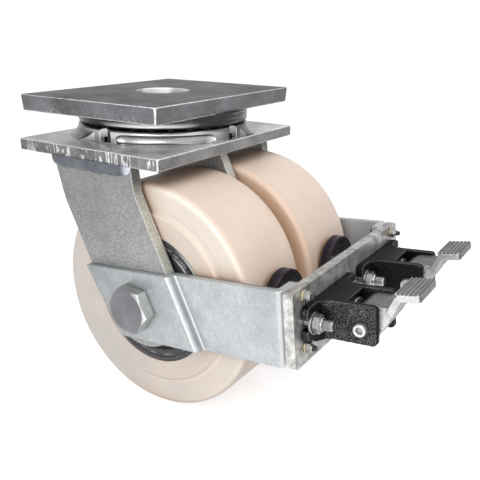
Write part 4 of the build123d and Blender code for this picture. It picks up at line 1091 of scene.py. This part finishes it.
class CASTOR_OT_wheels(bpy.types.Operator):
    """Finish the wheels and build their hub caps and the axle's bolt and nut"""

    bl_idname = "castor.wheels"
    bl_label = "Wheels and Axle"

    def execute(self, context):
        tones = context.scene.castor_finish
        dress(nylon("cast nylon", tones.nylon, tones.nylon_shadow), "wheel_left", "wheel_right")
        cap = smooth_black("hub cap black", tones.cap_black, 0.22, 0.5, 0.4, 2.6, gleam=True)
        for side, name in SIDES:
            faces = [cap_shell(side * WHEEL_Y, outward) for outward in (-1, 1)]
            show(f"turned_caps_{name}", faces, cap, f"wheel_body_{name}", "black_cap", (f"hub_caps_{name}",))
        # Painted light: the bolt's flats are painted much brighter, its faces toned by which way they look, its
        # chamfers white towards the rear, and its hollows dark.
        steel = zinc("axle bolt steel", tones.bolt_steel, 0.7, 0.34, 0.20, 0.10, 2.6, tint=(2.35, 2.5, 2.25),
                     edge_radius=0.0006, rubs=0.5, faces=(0.72, 1.0, 1.25), glint=(0.97, 0.0, 0.24),
                     grime=0.005)
        head_seat = axis_frame(AXLE - ACROSS * AXLE_SEAT, (1, 0, 0), (0, 0, 1))
        nut_seat = axis_frame(AXLE + ACROSS * AXLE_SEAT, (0, 0, 1), (1, 0, 0))
        fasten("axle_bolt_threaded", [bolt(head_seat, **AXLE_BOLT)], steel, "axle_bolt")
        fasten("axle_nut_chamfered", [nut(nut_seat, **AXLE_NUT)], steel, "axle_nut")
        return {"FINISHED"}


class CASTOR_OT_brake_frame(bpy.types.Operator):
    """Finish the brake arms and the cross plate and build their bolts"""

    bl_idname = "castor.brake_frame"
    bl_label = "Brake Frame"

    def execute(self, context):
        tones = context.scene.castor_finish
        # Painted light and shade: the arms' faces are toned by which way they look, and their tone ramps
        # lighter towards the rear.
        dress(zinc("arm zinc", [0.97 * share for share in tones.arm_zinc], 0.5, 0.36, 0.11, 0.08, 1.7,
                   faces=(0.92, 1.0, 0.78), cloud_scale=62.0, fleck_scale=700.0, rubs=0.35, sheet=True,
                   drift=((1.0, 0.0, 0.0), 0.01, 0.11, 0.77, 1.15)), "brake_arm_left", "brake_arm_right")
        # Painted light: the cross plate's faces along the axle are painted much lighter, and its top and rear
        # faces lighter too.
        dress(zinc("cross plate zinc", tones.cross_zinc, 0.5, 0.36, 0.48, 0.12, 3.0, faces=(1.55, 2.6, 1.45),
                   cloud_scale=105.0, fleck_scale=900.0, rubs=0.3), "cross_plate")
        spots = [(side * 0.088, v) for side, _ in SIDES for v in FRAME_ROWS]
        black = zinc("black bolt", tones.thread_black, 0.6, 0.38, 0.2, 0.1, 3.0)
        nut_zinc = zinc("frame nut zinc", tones.bright_zinc, 0.85, 0.26, 0.12, 0.02, 2.0, edge_radius=0.0003,
                        grime=0.0015)
        yellow = zinc("yellow zinc", tones.yellow_zinc, 0.85, 0.32, 0.15, 0.03, 1.4, edge_radius=0.0003)
        bolts = [bolt(forward(0.130, *spot), **FRAME_BOLT) for spot in spots]
        nuts = [nut(rearward(0.1466, *spot), **FRAME_NUT) for spot in spots]
        washers = [washer(rearward(0.1450, *spot), **FRAME_WASHER) for spot in spots]
        fasten("frame_bolts_threaded", bolts, black, "frame_bolts")
        fasten("frame_nuts_chamfered", nuts, nut_zinc, "frame_nuts")
        fasten("frame_washers_turned", washers, yellow, "frame_washers", "yellow_zinc")
        return {"FINISHED"}


class CASTOR_OT_brake_units(bpy.types.Operator):
    """Build the brake housings, pedals, studs and screws and finish the pads and plungers"""

    bl_idname = "castor.brake_units"
    bl_label = "Brake Units"

    def execute(self, context):
        tones = context.scene.castor_finish
        # Painted light: the pedals' sides are painted much lighter than their tops and ends, their ridges
        # bright, and the right pedal darker.
        pedal = zinc("pedal casting", tones.lever_metal, 0.6, 0.30, 0.20, 0.12, 2.4, faces=(0.46, 2.75, 0.42),
                     cloud_scale=90.0, relief=0.6, ridges=0.8, edge_radius=0.0005,
                     drift=((0.0, 1.0, 0.0), -0.02, 0.04, 1.0, 0.62))
        for side, name in SIDES:
            # Painted shade: the right housing's speckle is painted far darker than the left one's.
            rubbed = 0.36 if side < 0 else 0.03
            black = black_casting(f"black casting {name}", tones.casting_black, (rubbed,) * 3,
                                  (0.20, 0.20, 0.21))
            cast_copy(f"cast_housing_{name}", f"brake_housing_{name}", tones.cast_round, tones.cast_ripple,
                      5 + side, black, "fork_body", "black_casting")
            cast_copy(f"cast_pedal_{name}", f"brake_lever_{name}", tones.cast_round * 0.8, tones.cast_ripple,
                      9 + side, pedal, f"lever_body_{name}", "lever_casting")
        bright = zinc("unit zinc", tones.bright_zinc, 0.9, 0.24, 0.12, 0.02, 2.2, edge_radius=0.0003,
                      grime=0.0022)
        screw = zinc("screw zinc", tones.screw_zinc, 0.6, 0.24, 0.10, 0.02, 1.3, edge_radius=0.0003,
                     grime=0.004)
        studs, nuts, screws = [], [], []
        for side, _ in SIDES:
            for offset in (-0.036, 0.036):
                y = side * WHEEL_Y + offset
                # The outer studs also clamp the arm's flange.
                seat = 0.130 if abs(y) > WHEEL_Y else 0.137
                studs.append(bolt(forward(seat, y, STUD_ROW), thread_from=seat - 0.150, end=seat - 0.1676,
                                  **UNIT_STUD))
                nuts.append(nut(rearward(0.153, y, STUD_ROW), **UNIT_NUT))
            head_seat = axis_frame(on_arm(0.182, side * WHEEL_Y - 0.0218, PIVOT_ROW), ALONG_ARM, UP_ARM)
            screws.append(socket_screw(head_seat, **PIVOT_SCREW))
        fasten("unit_studs_threaded", studs, bright, "unit_studs")
        fasten("unit_nuts_chamfered", nuts, bright, "unit_nuts")
        fasten("pivot_screws_turned", screws, screw, "pivot_screws", sharp=30.0)
        dress(bright, "unit_washers", "plunger_left", "plunger_right")
        dress(smooth_black("pivot washer black", tones.thread_black, 0.4, 0.4, 0.2), "pivot_washers")
        for name, rough, level, rim, node_name in (("pad backing black", 0.30, 0.25, 24.0, "pad_backing"),
                                                   ("pad rubber", 0.42, 0.15, 30.0, "brake_pad")):
            dress(smooth_black(name, tones.rubber, rough, level, 0.2, rim), f"{node_name}_left",
                  f"{node_name}_right")
        return {"FINISHED"}


def area_light(name, place, target, size, power):
    """Soft square lamp aimed at a point."""
    lamp = bpy.data.lights.new(name, "AREA")
    lamp.shape = "RECTANGLE"
    lamp.size = lamp.size_y = size
    lamp.energy = power
    made = bpy.data.objects.new(name, lamp)
    aim = Vector(target) - Vector(place)
    made.matrix_world = Matrix.Translation(place) @ aim.to_track_quat("-Z", "Y").to_matrix().to_4x4()
    bpy.context.scene.collection.objects.link(made)


def seen_directly(tree):
    """1 for camera, glossy and transmission rays, so metal shows the background too."""
    rays = ("Is Camera Ray", "Is Glossy Ray", "Is Transmission Ray")
    eye, gloss, through = (signal(tree, "LightPath", ray) for ray in rays)
    return eye.most(gloss).most(through)


class CASTOR_OT_studio(bpy.types.Operator):
    """Add the pale floor, the soft lamps, the white surroundings and the camera"""

    bl_idname = "castor.studio"
    bl_label = "Studio"

    def execute(self, context):
        scene = context.scene
        reach, floor_z = 12.0, CAD_BOX[0].z
        mesh = bpy.data.meshes.new("floor")
        corners = [(x * reach, y * reach, floor_z) for x, y in ((-1, -1), (1, -1), (1, 1), (-1, 1))]
        mesh.from_pydata(corners, [], [(0, 1, 2, 3)])
        floor = bpy.data.objects.new("floor", mesh)
        scene.collection.objects.link(floor)
        material = bpy.data.materials.new("pale floor")
        material.use_nodes = True
        mesh.materials.append(finish(material, {
            "Base Color": grey(0.62), "Roughness": 1.0, "Specular IOR Level": 0.0, "Emission Color": WHITE,
            "Emission Strength": seen_directly(material.node_tree) * 0.72,
        }))

        world = bpy.data.worlds.new("white studio")
        world.use_nodes = True
        tree = world.node_tree
        background = tree.nodes["Background"].inputs
        plug(tree, background["Color"], WHITE)
        plug(tree, background["Strength"], seen_directly(tree).ramp(0.0, 1.0, 0.52, 1.0))
        scene.world = world

        centre = (0.08, 0.0, -0.14)
        area_light("front lamp", (0.55, -1.4, 0.55), centre, 1.1, 12.0)
        area_light("overhead lamp", (0.75, -0.15, 1.35), centre, 1.2, 10.5)

        camera = bpy.data.cameras.new("camera")
        camera.sensor_width = 36.0
        camera.lens = 47.16
        camera.clip_start = 0.01
        view = bpy.data.objects.new("camera", camera)
        right = Vector((0.8377, 0.5460, 0.0109)).normalized()
        ahead = Vector((-0.5127, 0.7932, -0.3285)).normalized()
        up = right.cross(ahead)
        aimed = Matrix((right, up, -ahead)).transposed().to_4x4()
        view.matrix_world = Matrix.Translation((0.3866, -0.4631, 0.0614)) @ aimed
        scene.collection.objects.link(view)
        scene.camera = view
        scene.view_settings.view_transform = "Standard"
        return {"FINISHED"}


class CASTOR_PT_panel(bpy.types.Panel):
    """Buttons that build the castor's pieces"""

    bl_label = "Castor"
    bl_space_type = "VIEW_3D"
    bl_region_type = "UI"
    bl_category = "Castor"

    def draw(self, context):
        for operator in OPERATORS:
            self.layout.operator(operator.bl_idname)


OPERATORS = (CASTOR_OT_studio, CASTOR_OT_head, CASTOR_OT_fork, CASTOR_OT_wheels, CASTOR_OT_brake_frame,
             CASTOR_OT_brake_units)
CLASSES = (CastorFinish, *OPERATORS, CASTOR_PT_panel)


def register():
    """Register the classes and hang the settings on the scene."""
    for each in CLASSES:
        bpy.utils.register_class(each)
    bpy.types.Scene.castor_finish = PointerProperty(type=CastorFinish)


def unregister():
    """Take the settings and the classes away again."""
    del bpy.types.Scene.castor_finish
    for each in reversed(CLASSES):
        bpy.utils.unregister_class(each)


def main():
    """Build everything."""
    register()
    for make_group in (worn_edges_group, zinc_skin_group, cast_grain_group, facing_group, plate_edges_group):
        group = make_group()
        GROUPS[group.name] = group
    bpy.ops.castor.studio()
    bpy.ops.castor.head()
    bpy.ops.castor.fork()
    bpy.ops.castor.wheels()
    bpy.ops.castor.brake_frame()
    bpy.ops.castor.brake_units()


if __name__ == "__main__":
    main()
